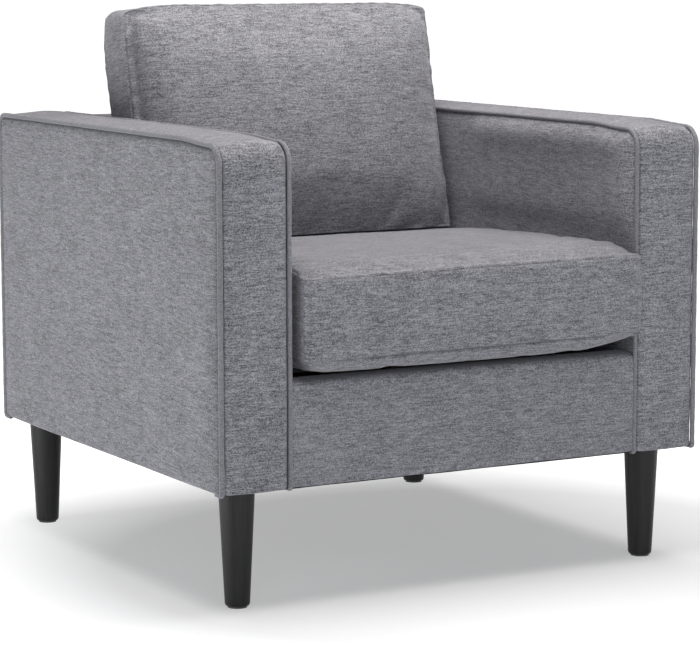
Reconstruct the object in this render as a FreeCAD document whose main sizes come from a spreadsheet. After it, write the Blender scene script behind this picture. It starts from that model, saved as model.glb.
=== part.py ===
import FreeCAD, Part
import os
import re
import Sketcher

# Upholstered armchair. Origin on the floor under the middle of the chair.
# +Z up, the sitter faces -Y, the sitter's left arm is at +X. Millimetres and degrees.

os.makedirs("parts", exist_ok=True)
doc = FreeCAD.newDocument("armchair")

# ---------------------------------------------------------------- driving sizes
SIZES = [
    ("half_width", 400, "half of the width over the arms"),
    ("arm_thick", 110, "thickness of one arm"),
    ("front_y", -384, "front of the arms"),
    ("rear_y", 403, "rear of the arms"),
    ("base_z", 172, "underside of the upholstery"),
    ("arm_top_z", 662, "top of the arms"),
    ("corner_front", 40, "rounding of the arm's top front corner"),
    ("corner_rear", 18, "rounding of the arm's top rear corner"),
    ("cloth", 2, "thickness of the cover cloth with its lining"),
    ("board", 3, "hardboard"),
    ("welt_wide", 6.5, "width of the flat self-welt"),
    ("welt_deep", 4, "depth of the flat self-welt"),
    ("wood_base_z", 176, "underside of the wooden frame"),
    ("rail_thick", 24, "front and rear seat rails"),
    ("rail_top_z", 298, "top of the seat rails"),
    ("side_rail_top_z", 292, "top of the side rails"),
    ("deck_z", 331.5, "top of the deck cloth"),
    ("lean", 12, "lean of the back, degrees"),
    ("back_top_z", 655, "top of the back"),
    ("back_top_y", 283, "face of the inner back at its top"),
    ("back_base_z", 308, "bottom edge of the inner back cover"),
    ("side_panel", 18, "thickness of the back's side panels"),
    ("leg_x", 344.5, "leg axis from the middle"),
    ("leg_front_y", -322, "front leg axis"),
    ("leg_rear_y", 360, "rear leg axis"),
    ("leg_top_r", 27, "leg radius at the top"),
    ("leg_foot_r", 18, "leg radius at the foot"),
    ("leg_top_z", 173, "top of the legs"),
    ("glide_z", 2, "thickness of the glide under each leg"),
    ("plate_half", 33, "half the side of a leg plate"),
    ("bolt_r", 4, "radius of the M8 bolts"),
    ("screw_r", 2, "radius of the plate screws"),
    ("seat_half", 286, "half the width of the seat cushion"),
    ("seat_front_y", -403, "front of the seat cushion"),
    ("seat_rear_y", 211, "rear of the seat cushion"),
    ("seat_low_z", 332, "underside of the seat cushion"),
    ("seat_high_z", 474, "top of the seat cushion"),
    ("seat_round", 18, "rounding of the seat cushion"),
    ("pillow_half", 270, "half the width of the back cushion"),
    ("pillow_low_z", 474.6, "underside of the back cushion"),
    ("pillow_mid_y", 202, "middle plane of the back cushion at pillow_mid_z"),
    ("pillow_mid_z", 670, "height at which pillow_mid_y is taken"),
    ("pillow_front", 60, "middle plane to the front of the back cushion"),
    ("pillow_rear", 81, "middle plane to the rear of the back cushion"),
    ("pillow_up", 158, "from pillow_mid_z up to the top, along the lean"),
    ("pillow_down", 260, "from pillow_mid_z down, along the lean, before the base is cut level"),
    ("pillow_round", 30, "rounding of the back cushion"),
    ("zip_half", 240, "half the length of a zip"),
    ("spring_x", 78, "spring offset from the middle, and half the spacing"),
    ("spring_z", 302, "height of the spring wire"),
    ("wire_r", 1.9, "radius of the spring wire"),
]
sheet = doc.addObject("Spreadsheet::Sheet", "Params")
for row, (alias, value, note) in enumerate(SIZES, start=1):
    sheet.set("A%d" % row, note)
    sheet.set("B%d" % row, str(value))
    sheet.setAlias("B%d" % row, alias)
doc.recompute()
V = {alias: float(value) for alias, value, note in SIZES}
WORDS = re.compile(r"\b(" + "|".join(sorted(V, key=len, reverse=True)) + r")\b")


def E(text):
    """An expression on the sheet's aliases, as FreeCAD writes it."""
    return WORDS.sub(r"Params.\1", str(text))


def value(text):
    """The number that such an expression has now; sums, products and tan() only."""
    holder = doc.getObject("Worker") or doc.addObject("App::FeaturePython", "Worker")
    if not hasattr(holder, "Result"):
        holder.addProperty("App::PropertyFloat", "Result")
    holder.setExpression("Result", E(text))
    holder.recompute()
    return float(holder.Result)


NODES = []


def node(obj, label):
    """Marks obj as a sub-part."""
    obj.Label = label
    NODES.append(obj)
    return obj


# ---------------------------------------------------------------- helpers
def box(name, x0, x1, y0, y1, z0, z1):
    """A box between six planes, each an expression on the sheet."""
    b = doc.addObject("Part::Box", name)
    for prop, low, high in (("Length", x0, x1), ("Width", y0, y1), ("Height", z0, z1)):
        b.setExpression(prop, E("(%s) - (%s)" % (high, low)))
    for axis, low in (("x", x0), ("y", y0), ("z", z0)):
        b.setExpression("Placement.Base." + axis, E(low))
    return b


def side_box(name, side, x0, x1, y0, y1, z0, z1):
    """The same, on the side +1 or mirrored to -1."""
    if side < 0:
        x0, x1 = "-(%s)" % x1, "-(%s)" % x0
    return box(name, x0, x1, y0, y1, z0, z1)


def rod(name, radius, length, base, axis):
    """A cylinder from base along an axis X or Z."""
    c = doc.addObject("Part::Cylinder", name)
    c.setExpression("Radius", E(radius))
    c.setExpression("Height", E(length))
    if axis == "X":
        c.Placement = FreeCAD.Placement(
            FreeCAD.Vector(), FreeCAD.Rotation(FreeCAD.Vector(0, 1, 0), 90)
        )
    for k, e in zip("xyz", base):
        c.setExpression("Placement.Base." + k, E(e))
    return c


def cut(name, base, *tools):
    """base less the tools."""
    tool = tools[0]
    if len(tools) > 1:
        tool = doc.addObject("Part::MultiFuse", name + "_tools")
        tool.Shapes = list(tools)
    c = doc.addObject("Part::Cut", name)
    c.Base, c.Tool = base, tool
    return c


def group(name, parts):
    """Separate identical pieces kept as one node."""
    g = doc.addObject("Part::Compound", name)
    g.Links = list(parts)
    return g


def plane_of(body, role):
    return [f for f in body.Origin.OriginFeatures if f.Role == role][0]


def outline(body, name, role, points, height=None):
    """A closed polygon sketch on an origin plane, every corner bound to the sheet."""
    sk = body.newObject("Sketcher::SketchObject", name)
    sk.AttachmentSupport = [(plane_of(body, role), "")]
    sk.MapMode = "FlatFace"
    if height is not None:
        sk.setExpression("AttachmentOffset.Base.z", E(height))
    co = [FreeCAD.Vector(value(u), value(v), 0) for u, v in points]
    n = len(co)
    for i in range(n):
        sk.addGeometry(Part.LineSegment(co[i], co[(i + 1) % n]), False)
    for i in range(n):
        sk.addConstraint(Sketcher.Constraint("Coincident", i, 2, (i + 1) % n, 1))
    for i, (u, v) in enumerate(points):
        k = sk.addConstraint(Sketcher.Constraint("DistanceX", -1, 1, i, 1, co[i].x))
        sk.renameConstraint(k, "u%d" % i)
        sk.setExpression("Constraints.u%d" % i, E(u))
        k = sk.addConstraint(Sketcher.Constraint("DistanceY", -1, 1, i, 1, co[i].y))
        sk.renameConstraint(k, "v%d" % i)
        sk.setExpression("Constraints.v%d" % i, E(v))
    return sk


def side_profile_body(name, side, x0, x1, points, rounds=()):
    """A body whose outline lies in the Y-Z plane, padded from X = x0 to x1 (mirrored for side -1).
    rounds: (corner number, radius expression)."""
    if side < 0:
        x0, x1 = "-(%s)" % x1, "-(%s)" % x0
    body = doc.addObject("PartDesign::Body", name)
    sk = outline(body, name + "_outline", "YZ_Plane", points, x0)
    pad = body.newObject("PartDesign::Pad", name + "_pad")
    pad.Profile = sk
    pad.setExpression("Length", E("(%s) - (%s)" % (x1, x0)))
    doc.recompute()
    last = pad
    for j, (corner, radius) in enumerate(rounds):
        y, z = value(points[corner][0]), value(points[corner][1])
        found = []
        for i, e in enumerate(last.Shape.Edges, start=1):
            a, b = e.Vertexes[0].Point, e.Vertexes[-1].Point
            if (
                abs(a.y - y) < 0.01
                and abs(a.z - z) < 0.01
                and abs(b.y - y) < 0.01
                and abs(b.z - z) < 0.01
            ):
                found.append("Edge%d" % i)
        f = body.newObject("PartDesign::Fillet", "%s_round%d" % (name, j))
        f.Base = (last, found)
        f.setExpression("Radius", E(radius))
        body.Tip = f
        doc.recompute()
        last = f
    return body


def arm_outline(d, foot="base_z"):
    """The arm's side outline, set in by d from its outermost surface."""
    return [
        ("front_y + %s" % d, foot),
        ("rear_y - %s" % d, foot),
        ("rear_y - %s" % d, "arm_top_z - %s" % d),
        ("front_y + %s" % d, "arm_top_z - %s" % d),
    ]


def arm_rounds(d):
    return [(2, "corner_rear - %s" % d), (3, "corner_front - %s" % d)]


# ---------------------------------------------------------------- arms
def leg_holes(tag, side, z0, z1, radius):
    """Cutters on the two leg axes of one side."""
    x = "leg_x" if side > 0 else "-leg_x"
    return [
        rod("%s_%s" % (tag, k), radius, "(%s) - (%s)" % (z1, z0), (x, y, z0), "Z")
        for k, y in (("f", "leg_front_y"), ("r", "leg_rear_y"))
    ]


def screw_places(side):
    """Axes of the four screws of each of the two leg plates on one side."""
    sx = "leg_x" if side > 0 else "-leg_x"
    return [
        ("%s + %s" % (sx, dx), "%s + %s" % (y, dy))
        for y in ("leg_front_y", "leg_rear_y")
        for dx in ("25", "(-25)")
        for dy in ("25", "(-25)")
    ]


BOLT_Y = ["-260", "-100", "100", "280"]  # bolts that join seat frame and arms


def make_arm(word, side):
    a = "arm_%s_" % word
    inner = "half_width - arm_thick"
    wood0, wood1 = "half_width - arm_thick + 23", "half_width - welt_wide"
    # bottom rail, bored for the legs' bolts, their screws and the frame bolts
    blank = side_box(
        a + "bottom_rail_blank", side, wood0, wood1, "front_y + 14", "rear_y - 4", "wood_base_z", "wood_base_z + 30"
    )
    holes = leg_holes(a + "rail_hole", side, "wood_base_z - 1", "wood_base_z + 31", "bolt_r + 0.5")
    for i, (x, y) in enumerate(screw_places(side)):
        holes.append(rod("%spilot_%d" % (a, i), "screw_r + 0.05", "17", (x, y, "wood_base_z - 1"), "Z"))
    for i, y in enumerate(BOLT_Y):
        x = "(%s) - 1" % wood0 if side > 0 else "-(%s) - 66" % wood0
        holes.append(rod("%sbolt_hole_%d" % (a, i), "bolt_r + 0.05", "67", (x, y, "wood_base_z + 15"), "X"))
    node(cut(a + "bottom_rail", blank, *holes), a + "bottom_rail")
    # front board and rear board stand on the bottom rail and carry the top board
    node(
        side_box(a + "front_board", side, wood0, wood1, "front_y + 14", "front_y + 32", "wood_base_z + 30", "arm_top_z - 39"),
        a + "front_board",
    )
    node(
        side_box(a + "rear_board", side, wood0, wood1, "rear_y - 22", "rear_y - 4", "wood_base_z + 30", "arm_top_z - 39"),
        a + "rear_board",
    )
    node(
        side_box(a + "top_board", side, wood0, wood1, "front_y + 14", "rear_y - 4", "arm_top_z - 39", "arm_top_z - 24"),
        a + "top_board",
    )
    node(
        side_box(
            a + "outer_board", side, wood1, "half_width - welt_wide + board", "front_y + 14", "rear_y - 4",
            "wood_base_z", "arm_top_z - 24",
        ),
        a + "outer_board",
    )
    node(
        side_box(
            a + "inner_board", side, "half_width - arm_thick + 20", wood0, "front_y + 14", "rear_y - 4",
            "side_rail_top_z", "arm_top_z - 24",
        ),
        a + "inner_board",
    )
    # foam: a sheet over the inner side, the top and the front of the frame
    foam = side_profile_body(
        a + "foam_block", side, "%s + 3" % inner, "half_width - welt_wide + board", arm_outline("welt_deep", "wood_base_z"),
        arm_rounds("welt_deep"),
    )
    hollow = side_box(
        a + "foam_hollow", side, "%s + 20" % inner, "half_width", "front_y + 14", "rear_y + 5",
        "wood_base_z - 5", "arm_top_z - 24",
    )
    notch = side_box(
        a + "foam_notch", side, "%s - 5" % inner, "%s + 25" % inner, "front_y + 15", "rear_y + 5",
        "wood_base_z - 5", "side_rail_top_z",
    )
    node(cut(a + "padding", foam, hollow, notch), a + "padding")
    # outer cover: a flat panel
    node(
        side_profile_body(
            a + "outer_cover", side, "half_width - welt_wide + board", "half_width - 1.5",
            arm_outline("welt_deep"), arm_rounds("welt_deep"),
        ),
        a + "outer_cover",
    )
    # inner cover: the same panel on the inner side, cut away over the seat rail
    panel = side_profile_body(
        a + "inner_panel", side, "%s + 1" % inner, "%s + 3" % inner, arm_outline("welt_deep", "base_z + 2"),
        arm_rounds("welt_deep"),
    )
    under = side_box(
        a + "inner_cutaway", side, "%s - 5" % inner, "%s + 10" % inner, "front_y + 15", "rear_y + 5",
        "base_z - 5", "side_rail_top_z",
    )
    node(cut(a + "inner_cover", panel, under), a + "inner_cover")

    # boxing: one strip up the front, over the top and down the rear
    def strip(tag, x0, x1, d0, d1):
        whole = side_profile_body(a + tag + "_whole", side, x0, x1, arm_outline(d0), arm_rounds(d0))
        core = side_profile_body(
            a + tag + "_core", side, "(%s) - 1" % x0, "(%s) + 1" % x1, arm_outline(d1, "base_z - 5"), arm_rounds(d1)
        )
        return cut(a + tag, whole, core)

    node(strip("boxing", "%s + welt_wide" % inner, "half_width - welt_wide", "2", "welt_deep"), a + "boxing")
    # flat self-welts along both edges of the boxing
    outer = strip("outer_welt", "half_width - welt_wide", "half_width", "0", "welt_deep")
    innerw = strip("inner_welt", inner, "%s + welt_wide" % inner, "0", "welt_deep")
    node(group(a + "welts", [outer, innerw]), a + "welts")


make_arm("left", +1)
make_arm("right", -1)

# ---------------------------------------------------------------- seat frame
IN = "half_width - arm_thick"
for word, side in (("left", 1), ("right", -1)):
    n = "seat_side_rail_" + word
    blank = side_box(n + "_blank", side, IN, IN + " + 23", "front_y + 15", "rear_y - 34", "wood_base_z", "side_rail_top_z")
    holes = []
    for i, y in enumerate(BOLT_Y):
        x = IN + " - 1" if side > 0 else "-(%s) - 24" % IN
        holes.append(rod("%s_hole_%d" % (n, i), "bolt_r + 0.05", "25", (x, y, "wood_base_z + 15"), "X"))
    node(cut(n, blank, *holes), n)
node(
    box("front_rail", "-(%s)" % IN, IN, "front_y + 15", "front_y + 15 + rail_thick", "wood_base_z", "rail_top_z"),
    "front_rail",
)
node(
    box(
        "rear_rail", "-(%s) + side_panel" % IN, IN + " - side_panel", "rear_y - 58", "rear_y - 58 + rail_thick",
        "wood_base_z + 24", "rail_top_z",
    ),
    "rear_rail",
)


# glued triangular blocks in the four corners of the seat frame
def corner_block(name, sx, sy):
    x = IN if sy < 0 else IN + " - side_panel"
    y = "front_y + 15 + rail_thick" if sy < 0 else "rear_y - 58"
    pts = [
        ("%d * (%s)" % (sx, x), y),
        ("%d * (%s - 70)" % (sx, x), y),
        ("%d * (%s)" % (sx, x), "%s + %d" % (y, -70 * sy)),
    ]
    body = doc.addObject("PartDesign::Body", name)
    sk = outline(body, name + "_outline", "XY_Plane", pts, "wood_base_z + 54")
    pad = body.newObject("PartDesign::Pad", name + "_pad")
    pad.Profile = sk
    pad.Length = 45
    return body


node(
    group("corner_blocks", [corner_block("block_%d" % i, sx, sy) for i, (sx, sy) in enumerate(((1, -1), (-1, -1), (1, 1), (-1, 1)))]),
    "corner_blocks",
)


# sinuous springs: cross runs joined by half circles, front rail to rear rail
def spring_shape(x_mid):
    half, z, r = 14.0, V["spring_z"], V["wire_r"]
    y0, y1 = V["front_y"] + 27.0, V["rear_y"] - 46.0
    runs = 32
    step = (y1 - y0) / (runs - 1)
    edges = []
    vec = FreeCAD.Vector
    for i in range(runs):
        y, s = y0 + i * step, 1 if i % 2 == 0 else -1
        edges.append(Part.LineSegment(vec(x_mid - s * half, y, z), vec(x_mid + s * half, y, z)).toShape())
        if i < runs - 1:
            edges.append(
                Part.Arc(
                    vec(x_mid + s * half, y, z),
                    vec(x_mid + s * (half + step / 2), y + step / 2, z),
                    vec(x_mid + s * half, y + step, z),
                ).toShape()
            )
    path = Part.Wire(edges)
    section = Part.Wire([Part.makeCircle(r, vec(x_mid - half, y0, z), vec(1, 0, 0))])
    return path.makePipeShell([section], True, False), y0, y1


springs, clips = [], []
first, spring_y0, spring_y1 = spring_shape(0.0)
for i, k in enumerate((-3, -1, 1, 3)):
    s = first.copy()
    s.translate(FreeCAD.Vector(k * V["spring_x"], 0, 0))
    springs.append(s)
    for j, y in enumerate((spring_y0, spring_y1)):
        lump = doc.addObject("Part::Box", "clip_%d_%d" % (i, j))
        lump.Length, lump.Width, lump.Height = 18, 12, 6.5
        lump.setExpression("Placement.Base.x", E("%d * spring_x - 9" % k))
        lump.setExpression("Placement.Base.y", E("%r - 6" % y))
        lump.setExpression("Placement.Base.z", E("rail_top_z"))
        way = rod("clip_way_%d_%d" % (i, j), "wire_r + 0.05", "30", ("%d * spring_x - 15" % k, "%r" % y, "spring_z"), "X")
        clips.append(cut("clip_cut_%d_%d" % (i, j), lump, way))
wires = doc.addObject("Part::Feature", "sinuous_springs")
wires.Shape = Part.makeCompound(springs)
node(wires, "sinuous_springs")
node(group("spring_clips", clips), "spring_clips")

# front rail upholstery
pad_block = box("rail_pad_block", "-(%s)" % IN, IN, "front_y + 5", "front_y + 15 + rail_thick", "wood_base_z", "base_z + 154")
pad_hollow = box(
    "rail_pad_hollow", "-(%s) - 5" % IN, IN + " + 5", "front_y + 15", "front_y + 60", "wood_base_z - 5", "rail_top_z + 9"
)
node(cut("front_rail_padding", pad_block, pad_hollow), "front_rail_padding")
cover_block = side_profile_body(
    "rail_cover_block", 1, "-(%s)" % IN, IN,
    [
        ("front_y + 3", "base_z + 2"),
        ("front_y + 41", "base_z + 2"),
        ("front_y + 41", "base_z + 156"),
        ("front_y + 3", "base_z + 156"),
    ],
    [(3, "2")],
)
cover_hollow = box(
    "rail_cover_hollow", "-(%s) - 5" % IN, IN + " + 5", "front_y + 5", "front_y + 39", "base_z - 5", "base_z + 154"
)
cover_back = box("rail_cover_back", "-(%s) - 5" % IN, IN + " + 5", "front_y + 38", "front_y + 50", "base_z - 5", "rail_top_z + 9")
node(cut("front_rail_cover", cover_block, cover_hollow, cover_back), "front_rail_cover")

# deck over the springs
node(box("deck_pad", "-(%s) + 2" % IN, IN + " - 2", "front_y + 41", "200", "rail_top_z + 8", "deck_z - 2"), "deck_pad")
node(box("deck_cloth", "-(%s)" % IN, IN, "front_y + 41", "200", "deck_z - 2", "deck_z"), "deck_cloth")

# bolts between seat frame and arms: head inside the side rail, shank out into the arm's bottom rail
bolts = []
for side in (1, -1):
    for i, y in enumerate(BOLT_Y):
        z = "wood_base_z + 15"
        shank_x = IN if side > 0 else "-(%s) - 80" % IN
        head_x = IN + " - 6" if side > 0 else "-(%s)" % IN
        shank = rod("bolt_shank_%d_%d" % (side, i), "bolt_r", "80", (shank_x, y, z), "X")
        head = rod("bolt_head_%d_%d" % (side, i), "bolt_r * 2", "6", (head_x, y, z), "X")
        f = doc.addObject("Part::Fuse", "bolt_%d_%d" % (side, i))
        f.Base, f.Tool = shank, head
        bolts.append(f)
node(group("frame_bolts", bolts), "frame_bolts")

# ---------------------------------------------------------------- back frame
TAN = "tan(lean)"


def back_y(z, n="0"):
    """Y on the plane that lies n behind the face of the inner back, at height z."""
    return "back_top_y - (back_top_z - (%s)) * %s + (%s) / cos(lean)" % (z, TAN, n)


for word, side in (("left", 1), ("right", -1)):
    n = "back_side_panel_" + word
    node(
        side_profile_body(
            n, side, IN + " - side_panel", IN,
            [
                (back_y("wood_base_z + 24", "29"), "wood_base_z + 24"),
                ("rear_y - 4", "wood_base_z + 24"),
                ("rear_y - 4", "back_top_z - 15"),
                (back_y("back_top_z - 15", "29"), "back_top_z - 15"),
            ],
        ),
        n,
    )
W_IN = IN + " - side_panel"
node(
    box("back_top_rail", "-(%s)" % W_IN, W_IN, "310", "rear_y - 4", "back_top_z - 37", "back_top_z - 15"),
    "back_top_rail",
)
node(box("back_lower_rail", "-(%s)" % W_IN, W_IN, "256", "278", "330", "370"), "back_lower_rail")
# elastic straps across the front edges of the side panels
straps = []
for i, z in enumerate(("400", "462", "524", "586")):
    st = doc.addObject("Part::Box", "strap_%d" % i)
    st.setExpression("Length", E("2 * (%s)" % IN))
    st.Width = 2
    st.Height = 45
    st.Placement = FreeCAD.Placement(
        FreeCAD.Vector(), FreeCAD.Rotation(FreeCAD.Vector(1, 0, 0), -V["lean"])
    )
    st.setExpression("Placement.Base.x", E("-(%s)" % IN))
    st.setExpression("Placement.Base.y", E(back_y(z, "27")))
    st.setExpression("Placement.Base.z", E(z))
    straps.append(st)
node(group("back_webbing", straps), "back_webbing")


def hook(name, x, n0, n1, t0, t1, y1):
    """Cloth or foam that lies on the inner back and turns over its top: n0..n1 behind the face,
    t0..t1 under the top."""
    return side_profile_body(
        name, 1, "-(%s)" % x, x,
        [
            (back_y("back_base_z", n0), "back_base_z"),
            (back_y("back_base_z", n1), "back_base_z"),
            (back_y("back_top_z - (%s)" % t1, n1), "back_top_z - (%s)" % t1),
            (y1, "back_top_z - (%s)" % t1),
            (y1, "back_top_z - (%s)" % t0),
            (back_y("back_top_z - (%s)" % t0, n0), "back_top_z - (%s)" % t0),
        ],
    )


node(hook("back_padding", IN, "2", "27", "2", "15", "rear_y - 4"), "back_padding")
node(hook("back_inner_cover", IN, "0", "2", "0", "2", "rear_y - 4"), "back_inner_cover")
node(box("back_outer_board", "-(%s)" % IN, IN, "rear_y - 4", "rear_y - 2", "wood_base_z", "back_top_z - 2"), "back_outer_board")
# outside back: the cloth turns over the top edge of its board
ob = box("outer_back_block", "-(%s)" % IN, IN, "rear_y - 4", "rear_y - 1", "base_z + 2", "back_top_z")
oh = box("outer_back_hollow", "-(%s) - 5" % IN, IN + " + 5", "rear_y - 5", "rear_y - 2", "base_z - 5", "back_top_z - 2")
node(cut("back_outer_cover", ob, oh), "back_outer_cover")

# ---------------------------------------------------------------- underside and legs
PLACES = [
    ("front_left", "leg_x", "leg_front_y"),
    ("front_right", "-leg_x", "leg_front_y"),
    ("rear_left", "leg_x", "leg_rear_y"),
    ("rear_right", "-leg_x", "leg_rear_y"),
]
sheet_block = box(
    "dust_block", "-half_width + 8", "half_width - 8", "front_y + 6", "rear_y - 6", "base_z + 0.5", "base_z + 1.5"
)
windows = [
    box("dust_window_" + w, "%s - 36" % x, "%s + 36" % x, "%s - 36" % y, "%s + 36" % y, "base_z - 5", "base_z + 5")
    for w, x, y in PLACES
]
node(cut("dust_cover", sheet_block, *windows), "dust_cover")

plates, hangers, glides, screws = [], [], [], []
for w, x, y in PLACES:
    # turned leg: a straight taper with a small round at the foot
    body = doc.addObject("PartDesign::Body", "leg_" + w)
    sk = outline(
        body, "leg_%s_profile" % w, "XZ_Plane",
        [
            ("0", "glide_z"),
            ("leg_foot_r - 3", "glide_z"),
            ("leg_foot_r", "glide_z + 4"),
            ("leg_top_r", "leg_top_z"),
            ("bolt_r + 0.05", "leg_top_z"),
            ("bolt_r + 0.05", "leg_top_z - 32"),
            ("0", "leg_top_z - 32"),
        ],
    )
    rev = body.newObject("PartDesign::Revolution", "leg_%s_turned" % w)
    rev.Profile = sk
    rev.ReferenceAxis = (sk, ["V_Axis"])
    rev.Angle = 360
    body.setExpression("Placement.Base.x", E(x))
    body.setExpression("Placement.Base.y", E(y))
    node(body, "leg_" + w)
    # steel plate under the arm's bottom rail
    plate = box(
        "plate_" + w, "%s - plate_half" % x, "%s + plate_half" % x, "%s - plate_half" % y, "%s + plate_half" % y,
        "leg_top_z", "wood_base_z",
    )
    side = 1 if not x.startswith("-") else -1
    mine = [p for p in screw_places(side) if p[1].startswith(y + " ")]
    holes = [rod("plate_bore_" + w, "bolt_r + 0.05", "5", (x, y, "leg_top_z - 1"), "Z")]
    for j, (sx, sy) in enumerate(mine):
        holes.append(rod("plate_hole_%s_%d" % (w, j), "screw_r + 0.05", "5", (sx, sy, "leg_top_z - 1"), "Z"))
        shank = rod("screw_shank_%s_%d" % (w, j), "screw_r", "15.5", (sx, sy, "leg_top_z"), "Z")
        head = rod("screw_head_%s_%d" % (w, j), "screw_r * 1.9", "0.8", (sx, sy, "leg_top_z - 0.8"), "Z")
        f = doc.addObject("Part::Fuse", "screw_%s_%d" % (w, j))
        f.Base, f.Tool = shank, head
        screws.append(f)
    plates.append(cut("plate_bored_" + w, plate, *holes))
    hangers.append(rod("hanger_" + w, "bolt_r", "62", (x, y, "leg_top_z - 30"), "Z"))
    glides.append(rod("glide_" + w, "leg_foot_r - 4", "glide_z", (x, y, "0"), "Z"))
node(group("leg_plates", plates), "leg_plates")
node(group("leg_hanger_bolts", hangers), "leg_hanger_bolts")
node(group("leg_glides", glides), "leg_glides")
node(group("leg_plate_screws", screws), "leg_plate_screws")


# ---------------------------------------------------------------- seat cushion
def round_block(name, planes, radius):
    """A box between six planes with every edge rounded, as a PartDesign body."""
    x0, x1, y0, y1, z0, z1 = planes
    body = doc.addObject("PartDesign::Body", name)
    sk = outline(body, name + "_outline", "XY_Plane", [(x0, y0), (x1, y0), (x1, y1), (x0, y1)], z0)
    pad = body.newObject("PartDesign::Pad", name + "_pad")
    pad.Profile = sk
    pad.setExpression("Length", E("(%s) - (%s)" % (z1, z0)))
    doc.recompute()
    f = body.newObject("PartDesign::Fillet", name + "_round")
    f.Base = (pad, ["Edge%d" % (i + 1) for i in range(len(pad.Shape.Edges))])
    f.setExpression("Radius", E(radius))
    body.Tip = f
    doc.recompute()
    return body


SEAT = ["-seat_half", "seat_half", "seat_front_y", "seat_rear_y", "seat_low_z", "seat_high_z"]
SEAT_IN = [
    "-seat_half + cloth", "seat_half - cloth", "seat_front_y + cloth", "seat_rear_y - cloth",
    "seat_low_z + cloth", "seat_high_z - cloth",
]
seat_outer = round_block("seat_cushion_outer", SEAT, "seat_round")
seat_void = round_block("seat_cushion_void", SEAT_IN, "seat_round - cloth")
MID = "(seat_low_z + seat_high_z) / 2"
slit = box("seat_slit", "-zip_half", "zip_half", "seat_rear_y - cloth - 3", "seat_rear_y + 5", MID + " - 6", MID + " + 6")
node(cut("seat_cushion_cover", seat_outer, seat_void, slit), "seat_cushion_cover")
node(round_block("seat_cushion_foam", SEAT_IN, "seat_round - cloth"), "seat_cushion_foam")
node(
    box("seat_cushion_zip", "-zip_half", "zip_half", "seat_rear_y - cloth", "seat_rear_y", MID + " - 6", MID + " + 6"),
    "seat_cushion_zip",
)


def slider(name, x, low, high, tab):
    """A zip slider: a small bevelled block and its pull tab."""
    block = box(name + "_block", x + " - 7", x + " + 7", low[0], high[0], low[1], high[1])
    pull = box(name + "_pull", x + " - 24", x + " - 7", tab[0][0], tab[1][0], tab[0][1], tab[1][1])
    f = doc.addObject("Part::Fuse", name)
    f.Base, f.Tool = block, pull
    return f


node(
    slider(
        "seat_zip_slider", "zip_half - 12",
        ("seat_rear_y + 0.4", MID + " - 5"), ("seat_rear_y + 4.4", MID + " + 5"),
        (("seat_rear_y + 1.4", MID + " - 3"), ("seat_rear_y + 2.9", MID + " + 3")),
    ),
    "seat_zip_slider",
)


# ---------------------------------------------------------------- back cushion
def leaning_block(name, grow, radius):
    """The back cushion's rounded block, set in by grow, leaning with the back and cut level underneath."""
    body = round_block(
        name + "_upright",
        [
            "-pillow_half + " + grow, "pillow_half - " + grow, "-pillow_front + " + grow, "pillow_rear - " + grow,
            "-pillow_down", "pillow_up - " + grow,
        ],
        radius,
    )
    body.Placement = FreeCAD.Placement(
        FreeCAD.Vector(), FreeCAD.Rotation(FreeCAD.Vector(1, 0, 0), -V["lean"])
    )
    body.setExpression("Placement.Base.y", E("pillow_mid_y"))
    body.setExpression("Placement.Base.z", E("pillow_mid_z"))
    floor = box(
        name + "_level", "-400", "400", "-300", "500", "300", "pillow_low_z + " + grow
    )
    return cut(name, body, floor)


pillow_outer = leaning_block("back_cushion_outer", "0", "pillow_round")
pillow_void = leaning_block("back_cushion_void", "cloth", "pillow_round - cloth")
LOW = "pillow_low_z"
PY = "pillow_mid_y - (pillow_mid_z - pillow_low_z) * tan(lean) + 8"
channel = box("pillow_channel", "-zip_half", "zip_half", PY + " - 8", PY + " + 8", LOW + " - 5", LOW + " + 8")
node(cut("back_cushion_cover", pillow_outer, pillow_void, channel), "back_cushion_cover")
fill_block = leaning_block("back_cushion_fill_block", "cloth", "pillow_round - cloth")
channel2 = box("pillow_channel_in", "-zip_half", "zip_half", PY + " - 8", PY + " + 8", LOW + " - 5", LOW + " + 8")
node(cut("back_cushion_fill", fill_block, channel2), "back_cushion_fill")
node(box("back_cushion_zip", "-zip_half", "zip_half", PY + " - 8", PY + " + 8", LOW + " + 6", LOW + " + 8"), "back_cushion_zip")
node(
    slider(
        "back_zip_slider", "zip_half - 12",
        (PY + " - 5", LOW + " + 1.6"), (PY + " + 5", LOW + " + 5.6"),
        ((PY + " - 3", LOW + " + 2.6"), (PY + " + 3", LOW + " + 4.1")),
    ),
    "back_zip_slider",
)

# ---------------------------------------------------------------- check and write
doc.recompute()
bad = []
for o in doc.Objects:
    if "Invalid" in o.State or "Error" in o.State:
        bad.append("%s: %s" % (o.Name, o.State))
for o in NODES:
    s = o.Shape
    if s.isNull() or not s.isValid() or not s.Solids:
        bad.append("%s: bad shape" % o.Label)
if len(set(o.Label for o in NODES)) != len(NODES):
    bad.append("two sub-parts share a label")
if bad:
    raise RuntimeError("; ".join(bad))
for o in NODES:
    o.Shape.exportStep("parts/%s.step" % o.Label)
whole = FreeCAD.BoundBox()
for o in NODES:
    whole.add(o.Shape.BoundBox)
print("%d sub-parts, box %s" % (len(NODES), whole))
for o in NODES:
    b = o.Shape.BoundBox
    print(
        "%-26s %2d solids %10.1f cm3  X %7.1f %7.1f  Y %7.1f %7.1f  Z %7.1f %7.1f"
        % (o.Label, len(o.Shape.Solids), o.Shape.Volume / 1000.0, b.XMin, b.XMax, b.YMin, b.YMax, b.ZMin, b.ZMax)
    )
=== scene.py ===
import bpy, bmesh, math
import numpy as np
from mathutils import Vector, Matrix, noise
from mathutils.bvhtree import BVHTree


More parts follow.
